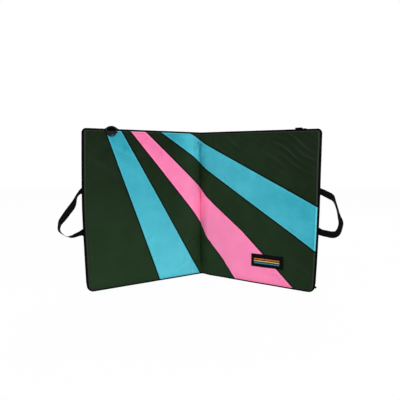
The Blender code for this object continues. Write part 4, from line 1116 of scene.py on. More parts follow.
RIGHT_HANDLE_PATH = (
    (0.000, 0.516, 1.15), (0.030, 0.514, 1.00), (0.079, 0.508, 0.92), (0.181, 0.487, 0.91),
    (0.282, 0.462, 0.90), (0.384, 0.438, 0.90), (0.468, 0.413, 0.86), (0.536, 0.383, 0.71),
    (0.596, 0.344, 0.42), (0.643, 0.304, 0.23), (0.685, 0.256, 0.16), (0.721, 0.207, 0.13),
    (0.758, 0.149, 0.12), (0.790, 0.096, 0.13), (0.820, 0.042, 0.15),
    (0.844, -0.007, 0.21), (0.878, -0.065, 0.30), (0.914, -0.118, 0.42), (0.946, -0.171, 0.52),
    (0.955, -0.225, 0.57), (0.939, -0.286, 0.60), (0.912, -0.346, 0.64), (0.868, -0.408, 0.76),
    (0.807, -0.458, 0.90), (0.703, -0.491, 1.00), (0.572, -0.503, 1.00), (0.421, -0.494, 1.00),
    (0.252, -0.483, 1.00), (0.116, -0.471, 0.98), (0.047, -0.458, 1.05), (0.000, -0.450, 1.15),
)


def in_world(side, stations):
    """Webbing stations in world space, from those in a half's frame."""
    half = HALF_FRAME[side]
    return [(half @ centre, half.to_3x3() @ direction) for centre, direction in stations]


def handle_root():
    """Across position of the side at the handle's upper root."""
    share = (HANDLE_SPACING - WEBBING_WIDTH) / PAD_HEIGHT
    return HALF_ACROSS - OUTER_BOW * share ** 2


def carry_handle(side, side_name, rows, reach):
    """A loop of webbing from the outer seam, twisted as it hangs and flared where it is sewn."""
    depth = LANDING + EDGE_DROP + HANDLE_DEPTH
    root = handle_root()
    places = []
    for step in range(HANDLE_STATIONS + 1):
        out, up, shown = smooth_row(rows, (len(rows) - 1) * step / HANDLE_STATIONS)
        places.append((Vector((out * reach, up * HANDLE_SPACING)), max(shown, 0.02)))
    stations = []
    for index, (centre, shown) in enumerate(places):
        ahead = places[min(index + 1, HANDLE_STATIONS)][0]
        behind = places[max(index - 1, 0)][0]
        outward = Vector((1.0 if index < HANDLE_STATIONS / 2 else -1.0, 0.0))
        free = clamp(centre.x / HANDLE_ROOT_STRAIGHT, 0.0, 1.0)
        run = outward.lerp((ahead - behind).normalized(), free).normalized()
        turn = math.acos(min(shown, 1.0))
        flare = max(shown, 1.0)
        square = Vector((-run.y, run.x)) * math.cos(turn) * flare
        folded = clamp(centre.x / HANDLE_FOLD_REACH, HANDLE_FOLD_LEAST, 1.0)
        direction = Vector((side * square.x, math.sin(turn) * folded, square.y))
        stations.append((Vector((side * (root + centre.x), depth, PAD_HEIGHT / 2 + centre.y)), direction))
    inward = Vector((-side * HANDLE_ROOT_SUNK, 0.0, 0.0))
    stations = [(stations[0][0] + inward, stations[0][1])] + stations
    stations += [(stations[-1][0] + inward, stations[-1][1])]
    piece = ribbon(f"{side_name}_carry_handle", in_world(side, stations), WEBBING_WIDTH, WEBBING_THICK)
    finish_piece(piece, "webbing", [f"{side_name}_handle"], f"{side_name}_handle")


# Fittings: their places in a half's frame, as in the frame
RING_CENTRE = HALF_ACROSS - 0.161
LOWER_RING_CENTRE = HALF_ACROSS - 0.124
STRAP_CENTRE = HALF_ACROSS - 0.106
LOWER_STRAP_START = HALF_ACROSS - 0.084
SHOULDER_ACROSS = HALF_ACROSS - 0.354
RING_WIRE = 0.0030
RING_WIDTH = 0.062
RING_HEIGHT = 0.051
RING_DEPTH = 0.0045
RING_TILT = math.radians(7.0)
TAB_WIDTH = 0.038
TAB_THICK = 0.0014
TAB_LAYER = TAB_THICK * 1.2
TAB_RISE = 0.018
RING_BAR_RISE = 0.006
LOWER_RING_BAR_HEIGHT = 0.110
LOWER_RING_DEPTH = 0.0051
SEWN_DEPTH = LANDING + EDGE_DROP + 0.006
THREAD_RADIUS = 0.0006
STITCH = 0.004
TAB_BOX_HALF = 0.017
STRAP_BOX_HALF = 0.014
SEWN_CLEAR = 0.0003


def smooth_path(path, count):
    """Points on a smooth line through those of a path."""
    rows = [tuple(point) for point in path]
    return [smooth_row(rows, (len(rows) - 1) * step / count) for step in range(count + 1)]


def band(name, side, across, path, width, thickness, nodes, body, count):
    """Webbing square to a half's width, along a smoothed (depth, up) path."""
    wide = HALF_FRAME[side].to_3x3() @ Vector((1.0, 0.0, 0.0))
    stations = [(put(side, across, depth, up), wide) for depth, up in smooth_path(path, count)]
    piece = ribbon(name, stations, width, thickness)
    finish_piece(piece, "webbing", nodes, body)
    return piece


def box_stitch(name, side, centre, half, low, high, body):
    """Thread sewn round a box and across it, between two (depth, up) lines."""
    corners = ((-half, low), (half, low), (half, high), (-half, high))
    a, b, c, d = [put(side, centre + across, *line) for across, line in corners]
    path = []
    for start, end in ((a, b), (b, c), (c, d), (d, a), (a, c), (c, b), (b, d)):
        count = max(round((end - start).length / STITCH), 2)
        path += [start.lerp(end, step / count) for step in range(count)]
    piece = bead(name, path, THREAD_RADIUS)
    finish_piece(piece, "webbing", (), body)


def bar_wrap(depth, height, start, end, count=8):
    """Points round a ring's bar, from one angle to another in degrees."""
    radius = RING_WIRE + TAB_THICK * 0.7
    points = []
    for step in range(count + 1):
        angle = math.radians(start + (end - start) * step / count)
        points.append((depth + radius * math.cos(angle), height + radius * math.sin(angle)))
    return points


def ring(name, across, depth, bar_height, tilt=0.0):
    """A D-ring bent from wire, with its joint in the middle of the bar."""
    half = RING_WIDTH / 2 - RING_WIRE
    drop = RING_HEIGHT - 2 * RING_WIRE
    corner = RING_WIRE * 2
    outline = [(out, 0.0) for out in np.linspace(-half + corner, half - corner, 12)]
    outline += [(half - corner * 0.3, -corner * 0.3), (half, -corner)]
    for step in range(1, 28):
        angle = math.pi * step / 28
        outline.append((half * math.cos(angle), -corner - (drop - corner) * math.sin(angle)))
    outline += [(-half, -corner), (-half + corner * 0.3, -corner * 0.3)]
    points = [put(LEFT, across - out, depth + up * math.sin(tilt), bar_height + up * math.cos(tilt))
              for out, up in outline]
    wire = bead(f"{name}_wire", points, RING_WIRE, closed=True)
    finish_piece(wire, "blackened_steel", [name], name)
    weld_points = [put(LEFT, across + out, depth, bar_height) for out in (-0.003, -0.001, 0.001, 0.003)]
    weld = bead(f"{name}_weld", weld_points, RING_WIRE * 1.05)
    finish_piece(weld, "blackened_steel", (), name)


PATCH_HALF = 0.034
PATCH_UPS = (PAD_HEIGHT - 0.0255, PAD_HEIGHT + 0.0010)
PATCH_SCUFFED = 0.75
PATCH_THICK = 0.0012
PATCH_SLANT = 0.0055
PATCH_TAPER = 0.45
GATHER_HALF = 0.046
GATHER_RISE = 0.0190
GATHER_ASIDE = 0.008
GATHER_THICK = 0.0034


def ring_patch(swell):
    """The webbing patch sewn on the landing cover behind the ring, which takes the ring's rubbing."""
    middle = -run_at(LEFT, RING_CENTRE)
    columns = list(np.linspace(middle - PATCH_HALF, middle + PATCH_HALF, 29))
    rows = list(np.linspace(*PATCH_UPS, 15))
    piece = cloth_grid("upper_ring_patch", columns, rows)
    runs, _, ups = vertex_places(piece.data).T
    drawn, _, _ = seam_depths(runs, ups)
    share = (PATCH_UPS[1] - ups) / (PATCH_UPS[1] - PATCH_UPS[0])
    placed = ups + PATCH_SLANT * share * (runs - middle) / PATCH_HALF
    runs = middle + (runs - middle) * (1 - PATCH_TAPER * share ** 3)
    lift = PATCH_THICK * 1.3 - np.minimum(drawn, 0.0) + wrinkle_lift(runs, placed)
    lift += sample_swell(swell, runs, placed)
    set_places(piece.data, face_points(runs, placed, lift=lift))
    set_cloth_map(piece.data, ups, runs)
    with edited(piece.data) as work:
        turn_faces(work)
    thicken(piece, PATCH_THICK, -1.0)
    add_values(piece.data, "wear_and_painted_light", np.full(len(piece.data.vertices), PATCH_SCUFFED))
    piece.data.shade_smooth()
    finish_piece(piece, "black_nylon", (), BODY[LEFT])


def ring_gather():
    """The bell of gathered webbing that stands up from the top edge behind the upper ring."""
    columns, rows = 44, 16
    bpy.ops.mesh.primitive_grid_add(x_subdivisions=columns, y_subdivisions=rows, size=2.0)
    piece = bpy.context.object
    piece.name = "ring_tab_gather"
    for vertex in piece.data.vertices:
        share, around = vertex.co.x, (vertex.co.y + 1) / 2
        height = GATHER_RISE * max(1 - share * share, 0.0) ** 1.5
        angle = math.pi * around
        fold = 0.0010 * math.sin(share * 16.0) * (1 - share * share)
        depth = SEWN_DEPTH + GATHER_THICK * (1 - 1.6 * math.cos(angle)) + fold
        up = PAD_HEIGHT - 0.004 + (height + 0.0045) * math.sin(angle) ** 0.6
        vertex.co = put(LEFT, RING_CENTRE - GATHER_ASIDE + share * GATHER_HALF, depth, up)
    set_cloth_map(piece.data, *np.array([(vertex.index % columns, vertex.index // columns)
                                         for vertex in piece.data.vertices]).T * MEDIUM)
    with edited(piece.data) as work:
        open_edges = [edge for edge in work.edges if edge.is_boundary]
        bmesh.ops.holes_fill(work, edges=open_edges, sides=0)
        bmesh.ops.recalc_face_normals(work, faces=work.faces)
    piece.data.shade_smooth()
    finish_piece(piece, "webbing", (), BODY[LEFT])


def dome_tab(piece):
    """Lower the upper tab's two corners over the ends of the bar, as its folded webbing does."""
    centre = put(LEFT, RING_CENTRE, 0.0, 0.0)
    wide = HALF_FRAME[LEFT].to_3x3() @ Vector((1.0, 0.0, 0.0))
    floor = PAD_HEIGHT + RING_BAR_RISE + RING_WIRE + TAB_THICK * 1.3
    for vertex in piece.data.vertices:
        share = (vertex.co - centre).dot(wide) / (TAB_WIDTH / 2)
        over = vertex.co.z - floor
        if over > 0:
            vertex.co.z = floor + over * (1 - 0.85 * min(share * share, 1.0))


def upper_ring(swell):
    """The ring over the landing side, in its tab on the top edge, with the gather and patch behind it."""
    depth = LANDING - RING_DEPTH
    height = PAD_HEIGHT + RING_BAR_RISE
    seat = FACE_HEIGHT + TAB_THICK / 2
    path = [(SEWN_DEPTH + 0.040, seat), (SEWN_DEPTH + 0.015, seat), (SEWN_DEPTH - 0.004, seat + 0.0006)]
    path += bar_wrap(depth, height, -50.0, -250.0)
    path += [(depth + 0.006, height + TAB_RISE * 0.52), (depth + 0.014, height + TAB_RISE * 0.60)]
    path += [(SEWN_DEPTH, seat + TAB_LAYER + TAB_RISE * 0.38)]
    path += [(SEWN_DEPTH + 0.013, seat + TAB_LAYER + 0.0008), (SEWN_DEPTH + 0.040, seat + TAB_LAYER)]
    tab = band("upper_ring_webbing", LEFT, RING_CENTRE, path, TAB_WIDTH, TAB_THICK, ["upper_ring_tab"],
               BODY[LEFT], 90)
    dome_tab(tab)
    ring("upper_ring", RING_CENTRE, depth, height, RING_TILT)
    ring_gather()
    ring_patch(swell)
    up = seat + TAB_LAYER + TAB_THICK / 2
    box_stitch("upper_ring_stitching", LEFT, RING_CENTRE, TAB_BOX_HALF, (SEWN_DEPTH + 0.018, up),
               (SEWN_DEPTH + 0.037, up), BODY[LEFT])


def lower_ring():
    """The ring on the ground side, in its tab."""
    depth = GROUND + LOWER_RING_DEPTH
    height = LOWER_RING_BAR_HEIGHT
    seat = GROUND + 0.0002 + TAB_THICK / 2
    path = [(seat, height + 0.045), (seat, height + 0.020), (seat, height + RING_WIRE * 1.6)]
    path += bar_wrap(depth, height, -150.0, 40.0)
    path += [(seat + TAB_LAYER * 1.2, height + 0.014), (seat + TAB_LAYER, height + 0.030)]
    path += [(seat + TAB_LAYER, height + 0.045)]
    band("lower_ring_webbing", LEFT, LOWER_RING_CENTRE, path, TAB_WIDTH, TAB_THICK, ["lower_ring_tab"],
         BODY[LEFT], 60)
    ring("lower_ring", LOWER_RING_CENTRE, depth, height)
    back = seat + TAB_LAYER + TAB_THICK / 2
    box_stitch("lower_ring_stitching", LEFT, LOWER_RING_CENTRE, TAB_BOX_HALF, (back, height + 0.020),
               (back, height + 0.041), BODY[LEFT])


def rounded(points, radius, count=4):
    """A polygon with its corners rounded."""
    outline = []
    for index, point in enumerate(points):
        corner = Vector(point)
        before = Vector(points[index - 1]) - corner
        after = Vector(points[(index + 1) % len(points)]) - corner
        cut = min(radius, before.length / 2.1, after.length / 2.1)
        start, end = corner + before.normalized() * cut, corner + after.normalized() * cut
        for step in range(count + 1):
            share = step / count
            outline.append(start.lerp(corner, share).lerp(corner.lerp(end, share), share))
    return outline


SMOOTH_ANGLE = math.radians(40.0)


def plate(name, loops, thickness, edge, place):
    """A moulded or cast plate from flat outlines, with rounded edges, laid in place by a matrix."""
    curve = bpy.data.curves.new(name, "CURVE")
    curve.dimensions = "2D"
    curve.fill_mode = "BOTH"
    curve.extrude = thickness / 2 - edge
    curve.bevel_depth = edge
    curve.bevel_resolution = 2
    curve.offset = -edge
    for loop in loops:
        add_spline(curve, [(*point, 0.0) for point in loop], True)
    mesh = curve_mesh(curve, edge / 20)
    mesh.transform(place)
    piece = new_object(name, mesh)
    smooth_edges(piece)
    return piece


def smooth_edges(piece):
    """Smooth shading that keeps a piece's real edges."""
    for other in bpy.context.selected_objects:
        other.select_set(False)
    bpy.context.view_layer.objects.active = piece
    piece.select_set(True)
    bpy.ops.object.shade_smooth_by_angle(angle=SMOOTH_ANGLE)


def upright(side, across, depth, up):
    """A matrix that lays a flat outline (across, up) square to the depth of a half."""
    place = Matrix.Translation((side * across, depth, up))
    return HALF_FRAME[side] @ place @ Matrix.Rotation(math.pi / 2, 4, "X")


STRAP_HANG = 0.210
KEEPER_ASIDE = 0.020
KEEPER_FOLD = (
    (0.030, 0.0), (0.010, 0.0002), (-0.002, 0.0010), (-0.0045, 0.0040), (-0.001, 0.0068), (0.006, 0.0062),
    (0.016, 0.0026), (0.030, 0.0018),
)
STRAP_TURN_RADIUS = 0.005
HOOK_THICK = 0.004
HOOK_BAR = 0.005
HOOK_LENGTH = 0.058
HOOK_HALF = 0.025

# Where the strap lies: on the top edge, and behind the ground side in front of and behind its hook
STRAP_SEAT = FACE_HEIGHT + WEBBING_THICK / 2
STRAP_INNER = GROUND + SEWN_CLEAR + WEBBING_THICK / 2
HOOK_DEPTH = STRAP_INNER + WEBBING_THICK / 2 + SEWN_CLEAR + HOOK_THICK / 2
STRAP_OUTER = HOOK_DEPTH + HOOK_THICK / 2 + SEWN_CLEAR + WEBBING_THICK / 2
HOOK_TOP = PAD_HEIGHT - STRAP_HANG


def strap_anchor():
    """The part of the strap that is sewn on the top edge, and the folded webbing beside it."""
    seat, outer, turn = STRAP_SEAT, STRAP_OUTER, STRAP_TURN_RADIUS
    path = [(SEWN_DEPTH + 0.020, seat), (SEWN_DEPTH + 0.006, seat), (SEWN_DEPTH + 0.001, seat + 0.0002),
            (SEWN_DEPTH - 0.001, seat + 0.0010), (SEWN_DEPTH + 0.001, seat + 0.0019),
            (SEWN_DEPTH + 0.006, seat + 0.0020), (SEWN_DEPTH + 0.020, seat + 0.0018),
            (outer - turn * 1.6, seat + 0.0008)]
    for step in range(1, 5):
        angle = math.radians(90.0 - 90.0 * step / 4)
        path.append((outer - turn + turn * math.cos(angle), seat - turn + turn * math.sin(angle)))
    path.append((outer, PAD_HEIGHT - 0.0105))
    band("strap_anchor_webbing", RIGHT, STRAP_CENTRE, path, WEBBING_WIDTH, WEBBING_THICK,
         ["upper_strap_anchor"], BODY[RIGHT], 80)

    fold = [(SEWN_DEPTH + back, seat + rise) for back, rise in KEEPER_FOLD]
    band("strap_anchor_keeper", RIGHT, STRAP_CENTRE - KEEPER_ASIDE, fold, WEBBING_WIDTH, WEBBING_THICK, (),
         BODY[RIGHT], 60)


def closure_strap():
    """The strap's hanging part, looped through its hook and sewn."""
    inner, outer, half = STRAP_INNER, STRAP_OUTER, WEBBING_THICK / 2
    under = HOOK_TOP - HOOK_BAR
    wrap = 0.0004 + half
    path = [(outer, PAD_HEIGHT - 0.0138), (outer - 0.0002, PAD_HEIGHT - 0.060),
            (outer - 0.0004, PAD_HEIGHT - 0.130), (outer, HOOK_TOP + 0.030), (outer, HOOK_TOP + HOOK_BAR)]
    for corner, first in ((HOOK_DEPTH + HOOK_THICK / 2, 0.0), (HOOK_DEPTH - HOOK_THICK / 2, -90.0)):
        for step in range(4):
            angle = math.radians(first - 30.0 * step)
            path.append((corner + wrap * math.cos(angle), under + wrap * math.sin(angle)))
    path += [(inner, HOOK_TOP + 0.010), (inner, HOOK_TOP + 0.030)]
    band("closure_strap_webbing", RIGHT, STRAP_CENTRE, path, WEBBING_WIDTH, WEBBING_THICK, ["upper_strap"],
         "upper_strap", 90)
    box_stitch("closure_strap_stitching", RIGHT, STRAP_CENTRE, STRAP_BOX_HALF,
               (outer + half, HOOK_TOP + 0.010), (outer + half, HOOK_TOP + 0.028), "upper_strap")


def closure_hook():
    """The flat hook on the strap's end: a slot for the strap, and a mouth that takes the ring."""
    bottom = -HOOK_LENGTH
    inside = HOOK_HALF - HOOK_BAR
    slot_low = -HOOK_BAR - 0.008
    gap_top, gap_low = slot_low - HOOK_BAR, bottom + HOOK_BAR
    mouth_low = gap_low + 0.006
    mouth_high = mouth_low + 0.009
    loop = ((-HOOK_HALF, bottom), (HOOK_HALF, bottom), (HOOK_HALF, mouth_low), (inside, mouth_low),
            (inside, gap_low), (-inside, gap_low), (-inside, gap_top), (inside, gap_top),
            (inside, mouth_high), (HOOK_HALF, mouth_high), (HOOK_HALF, 0.0), (-HOOK_HALF, 0.0))
    slot_loop = ((-inside, slot_low), (-inside, -HOOK_BAR), (inside, -HOOK_BAR), (inside, slot_low))
    piece = plate("closure_hook", (rounded(loop, 0.0022), rounded(slot_loop, 0.0016)), HOOK_THICK, 0.0009,
                  upright(RIGHT, STRAP_CENTRE, HOOK_DEPTH, HOOK_TOP))
    finish_piece(piece, "acetal", ["upper_hook"], "upper_strap")


LOWER_STRAP_RUN = 0.070
LOWER_STRAP_SPLAY = math.radians(3.0)


def lower_strap():
    """The plain strap sewn low on the ground side, whose tail lies out along the floor."""
    floor = 0.0004 + WEBBING_THICK / 2
    depth = GROUND + SEWN_CLEAR + WEBBING_THICK / 2
    width = Vector((1.0, 0.0, 0.0))
    stations = [(Vector((LOWER_STRAP_START, depth, up)), width) for up in (0.060, 0.050, 0.040, 0.030)]
    run = Vector((math.cos(LOWER_STRAP_SPLAY), math.sin(LOWER_STRAP_SPLAY), 0.0))
    square = Vector((-run.y, run.x, 0.0))
    start = stations[-1][0]
    centre = Vector((LOWER_STRAP_START, depth + WEBBING_WIDTH / 2 + WEBBING_THICK, floor))
    for step in range(1, 13):
        share = step / 12
        place = start.lerp(centre, share)
        place.z = floor + (start.z - floor) * (1 - share) ** 2
        stations.append((place, width.lerp(square * -1.0, share * share).normalized()))
    for step in range(1, 9):
        share = step / 8
        lift = Vector((0.0, 0.0, 0.0045 * math.sin(math.pi * share) + 0.003 * share))
        stations.append((centre + run * LOWER_STRAP_RUN * share + lift, square * -1.0))
    piece = ribbon("lower_strap_webbing", in_world(RIGHT, stations), WEBBING_WIDTH, WEBBING_THICK)
    finish_piece(piece, "webbing", ["lower_strap"], BODY[RIGHT])
    back = depth + WEBBING_THICK / 2
    box_stitch("lower_strap_stitching", RIGHT, LOWER_STRAP_START, STRAP_BOX_HALF, (back, 0.036),
               (back, 0.056), BODY[RIGHT])


ZIP_FROM_FOLD = 0.080
ZIP_LOW = 0.137
ZIP_LENGTH = 0.640
ZIP_WIDTH = 0.026
ZIP_TEETH_HALF = 0.0022
ZIP_TEETH_RISE = 0.0018
COIL_PITCH = 0.0030
COIL_WIRE = 0.0004
ZIP_TAPE_THICK = 0.0009
BRIDGE_WIRE = 0.0007
SLIDER_HALF = 0.005
SLIDER_LENGTH = 0.014
SLIDER_DEPTHS = (0.0003, 0.0048)
SLIDER_CHANNEL = 0.0030
PULL_OUTLINE = ((-0.0035, -0.0150), (0.0035, -0.0150), (0.0024, 0.0150), (-0.0024, 0.0150))
PULL_HOLE = ((-0.0012, 0.0095), (-0.0010, 0.0130), (0.0010, 0.0130), (0.0012, 0.0095))
PULL_DEPTH = 0.0060
PULL_THICK = 0.0014
PULL_DOWN = 0.0103
BRIDGE_ARCH = ((0.0045, 0.0045), (0.0042, 0.0068), (0.0025, 0.0078), (0.0003, 0.0072), (-0.0008, 0.0045))
SLIDER_UP = ZIP_LOW + 0.015


def zipper(side, side_name):
    """Zip tape with its coil, and the slider with its pull."""
    stations = []
    for step in range(61):
        up = ZIP_LOW + ZIP_LENGTH * step / 60
        wave = 0.0004 * noise.noise(Vector((0.0, up, 0.0)) / RUMPLE)
        wide = HALF_FRAME[side].to_3x3() @ Vector((1.0, 0.0, 0.0))
        stations.append((put(side, ZIP_FROM_FOLD, GROUND - 0.0005 + wave, up), wide))
    tape = ribbon(f"{side_name}_zip_tape_cloth", stations, ZIP_WIDTH, ZIP_TAPE_THICK)
    finish_piece(tape, "black_nylon", [f"{side_name}_zip_tape"], BODY[side])
    turns = round((ZIP_LENGTH - 0.012) / COIL_PITCH)
    points = []
    for step in range(turns * 6 + 1):
        angle = 2 * math.pi * step / 6
        up = ZIP_LOW + 0.006 + COIL_PITCH * step / 6
        out = ZIP_TEETH_HALF * math.cos(angle)
        rise = GROUND + 0.0009 + 0.0005 * math.sin(angle)
        points.append(put(side, ZIP_FROM_FOLD + out, rise, up))
    coil = bead(f"{side_name}_zip_coil", points, COIL_WIRE)
    finish_piece(coil, "acetal", (), BODY[side])
    body = f"{side_name}_zip"
    half, channel, (low, top) = SLIDER_HALF, SLIDER_CHANNEL, SLIDER_DEPTHS
    roof = ZIP_TEETH_RISE + 0.0004
    loop = ((-half, low), (-channel, low), (-channel, roof), (channel, roof), (channel, low), (half, low),
            (half, top), (-half, top))
    along = HALF_FRAME[side] @ Matrix.Translation((side * ZIP_FROM_FOLD, GROUND, SLIDER_UP))
    slider = plate(f"{side_name}_zip_slider_body", (rounded(loop, 0.0009),), SLIDER_LENGTH, 0.0004,
                   along)
    finish_piece(slider, "blackened_steel", [f"{side_name}_zip_slider"], body)
    loops = (rounded(PULL_OUTLINE, 0.0020), rounded(PULL_HOLE, 0.0006))
    pull = plate(f"{side_name}_zip_pull_tab", loops, PULL_THICK, 0.0003,
                 upright(side, ZIP_FROM_FOLD, GROUND + PULL_DEPTH, SLIDER_UP - PULL_DOWN))
    finish_piece(pull, "blackened_steel", [f"{side_name}_zip_pull"], body)
    arch = smooth_path(BRIDGE_ARCH, 16)
    points = [put(side, ZIP_FROM_FOLD, GROUND + out, SLIDER_UP + up) for up, out in arch]
    bridge = bead(f"{side_name}_zip_bridge", points, BRIDGE_WIRE)
    finish_piece(bridge, "blackened_steel", (), body)


SHOULDER_WIDTH = 0.062
SHOULDER_TOP = PAD_HEIGHT - 0.114
SHOULDER_LENGTH = 0.400
SHOULDER_BOTTOM = SHOULDER_TOP - SHOULDER_LENGTH
SHOULDER_THICK = 0.011
SHOULDER_SPREAD = 0.065
SHOULDER_BULGE = 0.030
SHOULDER_EDGE = 0.003
SHOULDER_BACK = 0.0008
SHOULDER_LEAST = 0.8
SHOULDER_FULL_AT = 0.65
SHOULDER_END_REACH = SHOULDER_WIDTH / 2.4
SHOULDER_END_WIDTH = 0.72
SHOULDER_END_FILL = 0.25
QUILTING = 0.16
QUILT_ROWS = 6
QUILT_SHARPNESS = 90
SHOULDER_CAP = 0.0016
SHOULDER_FRAMES = 12
BINDING_RADIUS = 0.0018
LADDER_HALF = 0.019
LADDER_HEIGHT = 0.034
LADDER_THICK = 0.005
LADDER_SLOT = 0.006
THIN_WEBBING_WIDTH = 0.025
THIN_WEBBING_BOTTOM = 0.120


def shoulder_line(centre, lean, share):
    """Middle and half width of a shoulder strap at a share of its length, and how full its end is there."""
    fullness = math.sin(math.pi / 2 * min(share / SHOULDER_FULL_AT, 1.0))
    end = clamp(min(share, 1 - share) * SHOULDER_LENGTH / SHOULDER_END_REACH, 0.0, 1.0)
    narrow = math.sqrt(1 - (1 - end) ** 2)
    half = SHOULDER_WIDTH / 2 * (SHOULDER_LEAST + (1 - SHOULDER_LEAST) * fullness)
    half *= SHOULDER_END_WIDTH + (1 - SHOULDER_END_WIDTH) * narrow
    return centre + lean * SHOULDER_BULGE * math.sin(math.pi * share), half, narrow


def shoulder_padding(name, centre, lean):
    """The padding of a shoulder strap, pressed out by its foam."""
    bpy.ops.mesh.primitive_grid_add(x_subdivisions=14, y_subdivisions=72, size=2.0)
    piece = bpy.context.object
    piece.name = f"{name}_shoulder_padding"
    thicken(piece, 0.1, 0.0)
    for vertex in piece.data.vertices:
        share = (vertex.co.y + 1) / 2
        middle, half, narrow = shoulder_line(centre, lean, share)
        out = clamp(vertex.co.x, -1.0, 1.0)
        bulge = math.sqrt(max(1 - abs(out) ** 2.6, 0.0))
        bulge *= SHOULDER_END_FILL + (1 - SHOULDER_END_FILL) * narrow
        quilt = 1 - QUILTING * math.exp(-((share * QUILT_ROWS) % 1 - 0.5) ** 2 * QUILT_SHARPNESS)
        raised = SHOULDER_EDGE + (SHOULDER_THICK - SHOULDER_EDGE) * bulge * quilt
        depth = GROUND + (SHOULDER_BACK if vertex.co.z < 0 else raised)
        vertex.co = Vector((middle + out * half, depth, SHOULDER_BOTTOM + SHOULDER_LENGTH * share))
    places = vertex_places(piece.data)
    held = places[:, 1] < GROUND + SHOULDER_EDGE + 0.0006
    places += press_out(piece, held, SHOULDER_CAP, {"uniform_pressure_force": 2.0}, SHOULDER_FRAMES)
    set_places(piece.data, places)
    piece.data.transform(HALF_FRAME[RIGHT])
    with edited(piece.data) as work:
        bmesh.ops.recalc_face_normals(work, faces=work.faces)
    piece.data.shade_smooth()
    finish_piece(piece, "black_nylon", [f"{name}_shoulder_strap"], BODY[RIGHT])


def shoulder_binding(name, centre, lean):
    """The webbing bound round the padding's edge."""
    ring_points = []
    for lean_side in (-1, 1):
        for step in range(49):
            share = step / 48 if lean_side < 0 else 1 - step / 48
            middle, half, _ = shoulder_line(centre, lean, share)
            up = SHOULDER_BOTTOM + SHOULDER_LENGTH * share
            ring_points.append(put(RIGHT, middle + lean_side * half, GROUND + 0.0022, up))
    binding = bead(f"{name}_shoulder_binding", ring_points, BINDING_RADIUS, closed=True)
    finish_piece(binding, "webbing", (), BODY[RIGHT])


def ladder_lock(name, centre):
    """A ladder-lock, with the webbing that is threaded through it."""
    top = SHOULDER_BOTTOM - 0.0063
    bottom = top - LADDER_HEIGHT
    low = GROUND + 0.0022
    frame_loop = ((-LADDER_HALF, 0.0), (LADDER_HALF, 0.0), (LADDER_HALF, LADDER_HEIGHT),
                  (-LADDER_HALF, LADDER_HEIGHT))
    loops = [rounded(frame_loop, 0.003)]
    slot_half = LADDER_HALF - 0.0043
    for index in (1, 2):
        middle = LADDER_HEIGHT * index / 3
        hole = ((-slot_half, middle - LADDER_SLOT / 2), (-slot_half, middle + LADDER_SLOT / 2),
                (slot_half, middle + LADDER_SLOT / 2), (slot_half, middle - LADDER_SLOT / 2))
        loops.append(rounded(hole, 0.0012))
    buckle = plate(f"{name}_ladder_buckle", loops, LADDER_THICK, 0.0009,
                   upright(RIGHT, centre, low + LADDER_THICK / 2, bottom))
    finish_piece(buckle, "acetal", [f"{name}_ladder_lock"], BODY[RIGHT])

    back, over = GROUND + 0.0011, low + LADDER_THICK + 0.0011
    first, second = bottom + LADDER_HEIGHT * 2 / 3, bottom + LADDER_HEIGHT / 3
    path = [(back, SHOULDER_BOTTOM + 0.012), (back, top), (back, first + 0.0034), ((back + over) / 2, first),
            (over, first - 0.0034), (over, second + 0.0034), ((back + over) / 2, second),
            (back, second - 0.0034), (back, bottom - 0.010), (back + 0.0006, 0.240), (back, 0.170),
            (back, THIN_WEBBING_BOTTOM)]
    band(f"{name}_strap_webbing", RIGHT, centre, path, THIN_WEBBING_WIDTH, WEBBING_THICK,
         [f"{name}_shoulder_webbing"], BODY[RIGHT], 110)


def shoulder_strap(name, lean):
    """A padded strap, bound at its edge, with its webbing threaded through a ladder-lock."""
    centre = SHOULDER_ACROSS + lean * SHOULDER_SPREAD
    shoulder_padding(name, centre, lean)
    shoulder_binding(name, centre, lean)
    ladder_lock(name, centre)


LABEL_RUNS = (0.3755, 0.5730)
LABEL_UPS = (0.1035, 0.1830)
LABEL_THICK = 0.0009
LABEL_HEM = 0.005
LABEL_HEM_HALF = 0.003
LABEL_HEM_PUFF = 0.0012
LABEL_LEAN = 0.010



def label(swell):
    """The woven label, sewn flat on the landing face, with its folded hem."""
    columns = list(np.linspace(LABEL_RUNS[0], LABEL_RUNS[1], 49))
    rows = list(np.linspace(LABEL_UPS[0], LABEL_UPS[1], 21))
    piece = cloth_grid("woven_label", columns, rows)
    runs, _, ups = vertex_places(piece.data).T
    hem = np.minimum.reduce((runs - columns[0], columns[-1] - runs, ups - rows[0], rows[-1] - ups))
    puff = LABEL_HEM_PUFF * np.exp(-((hem - LABEL_HEM) / LABEL_HEM_HALF) ** 2)
    lean = (runs - columns[0]) * LABEL_LEAN
    drawn, _, _ = seam_depths(runs, ups)
    lift = LABEL_THICK * 1.8 + puff + wrinkle_lift(runs, ups + lean) - np.minimum(drawn, 0.0)
    lift += sample_swell(swell, runs, ups + lean)
    set_places(piece.data, face_points(runs, ups + lean, lift=lift))
    set_cloth_map(piece.data, runs - columns[0], ups - rows[0])
    with edited(piece.data) as work:
        turn_faces(work)
    thicken(piece, LABEL_THICK, -1.0)
    piece.data.shade_smooth()
    finish_piece(piece, "woven_label", ["label"], BODY[RIGHT])


# Camera, found by fitting the pad's corners to the photograph
IMAGE_SIZE = 400
FOCAL_PIXELS = 375.0
SENSOR = 36.0
CAMERA_PLACE = (-0.0032, -2.2032, 0.7616)
CAMERA_PITCH = math.radians(6.53)
CAMERA_ROLL = math.radians(0.16)


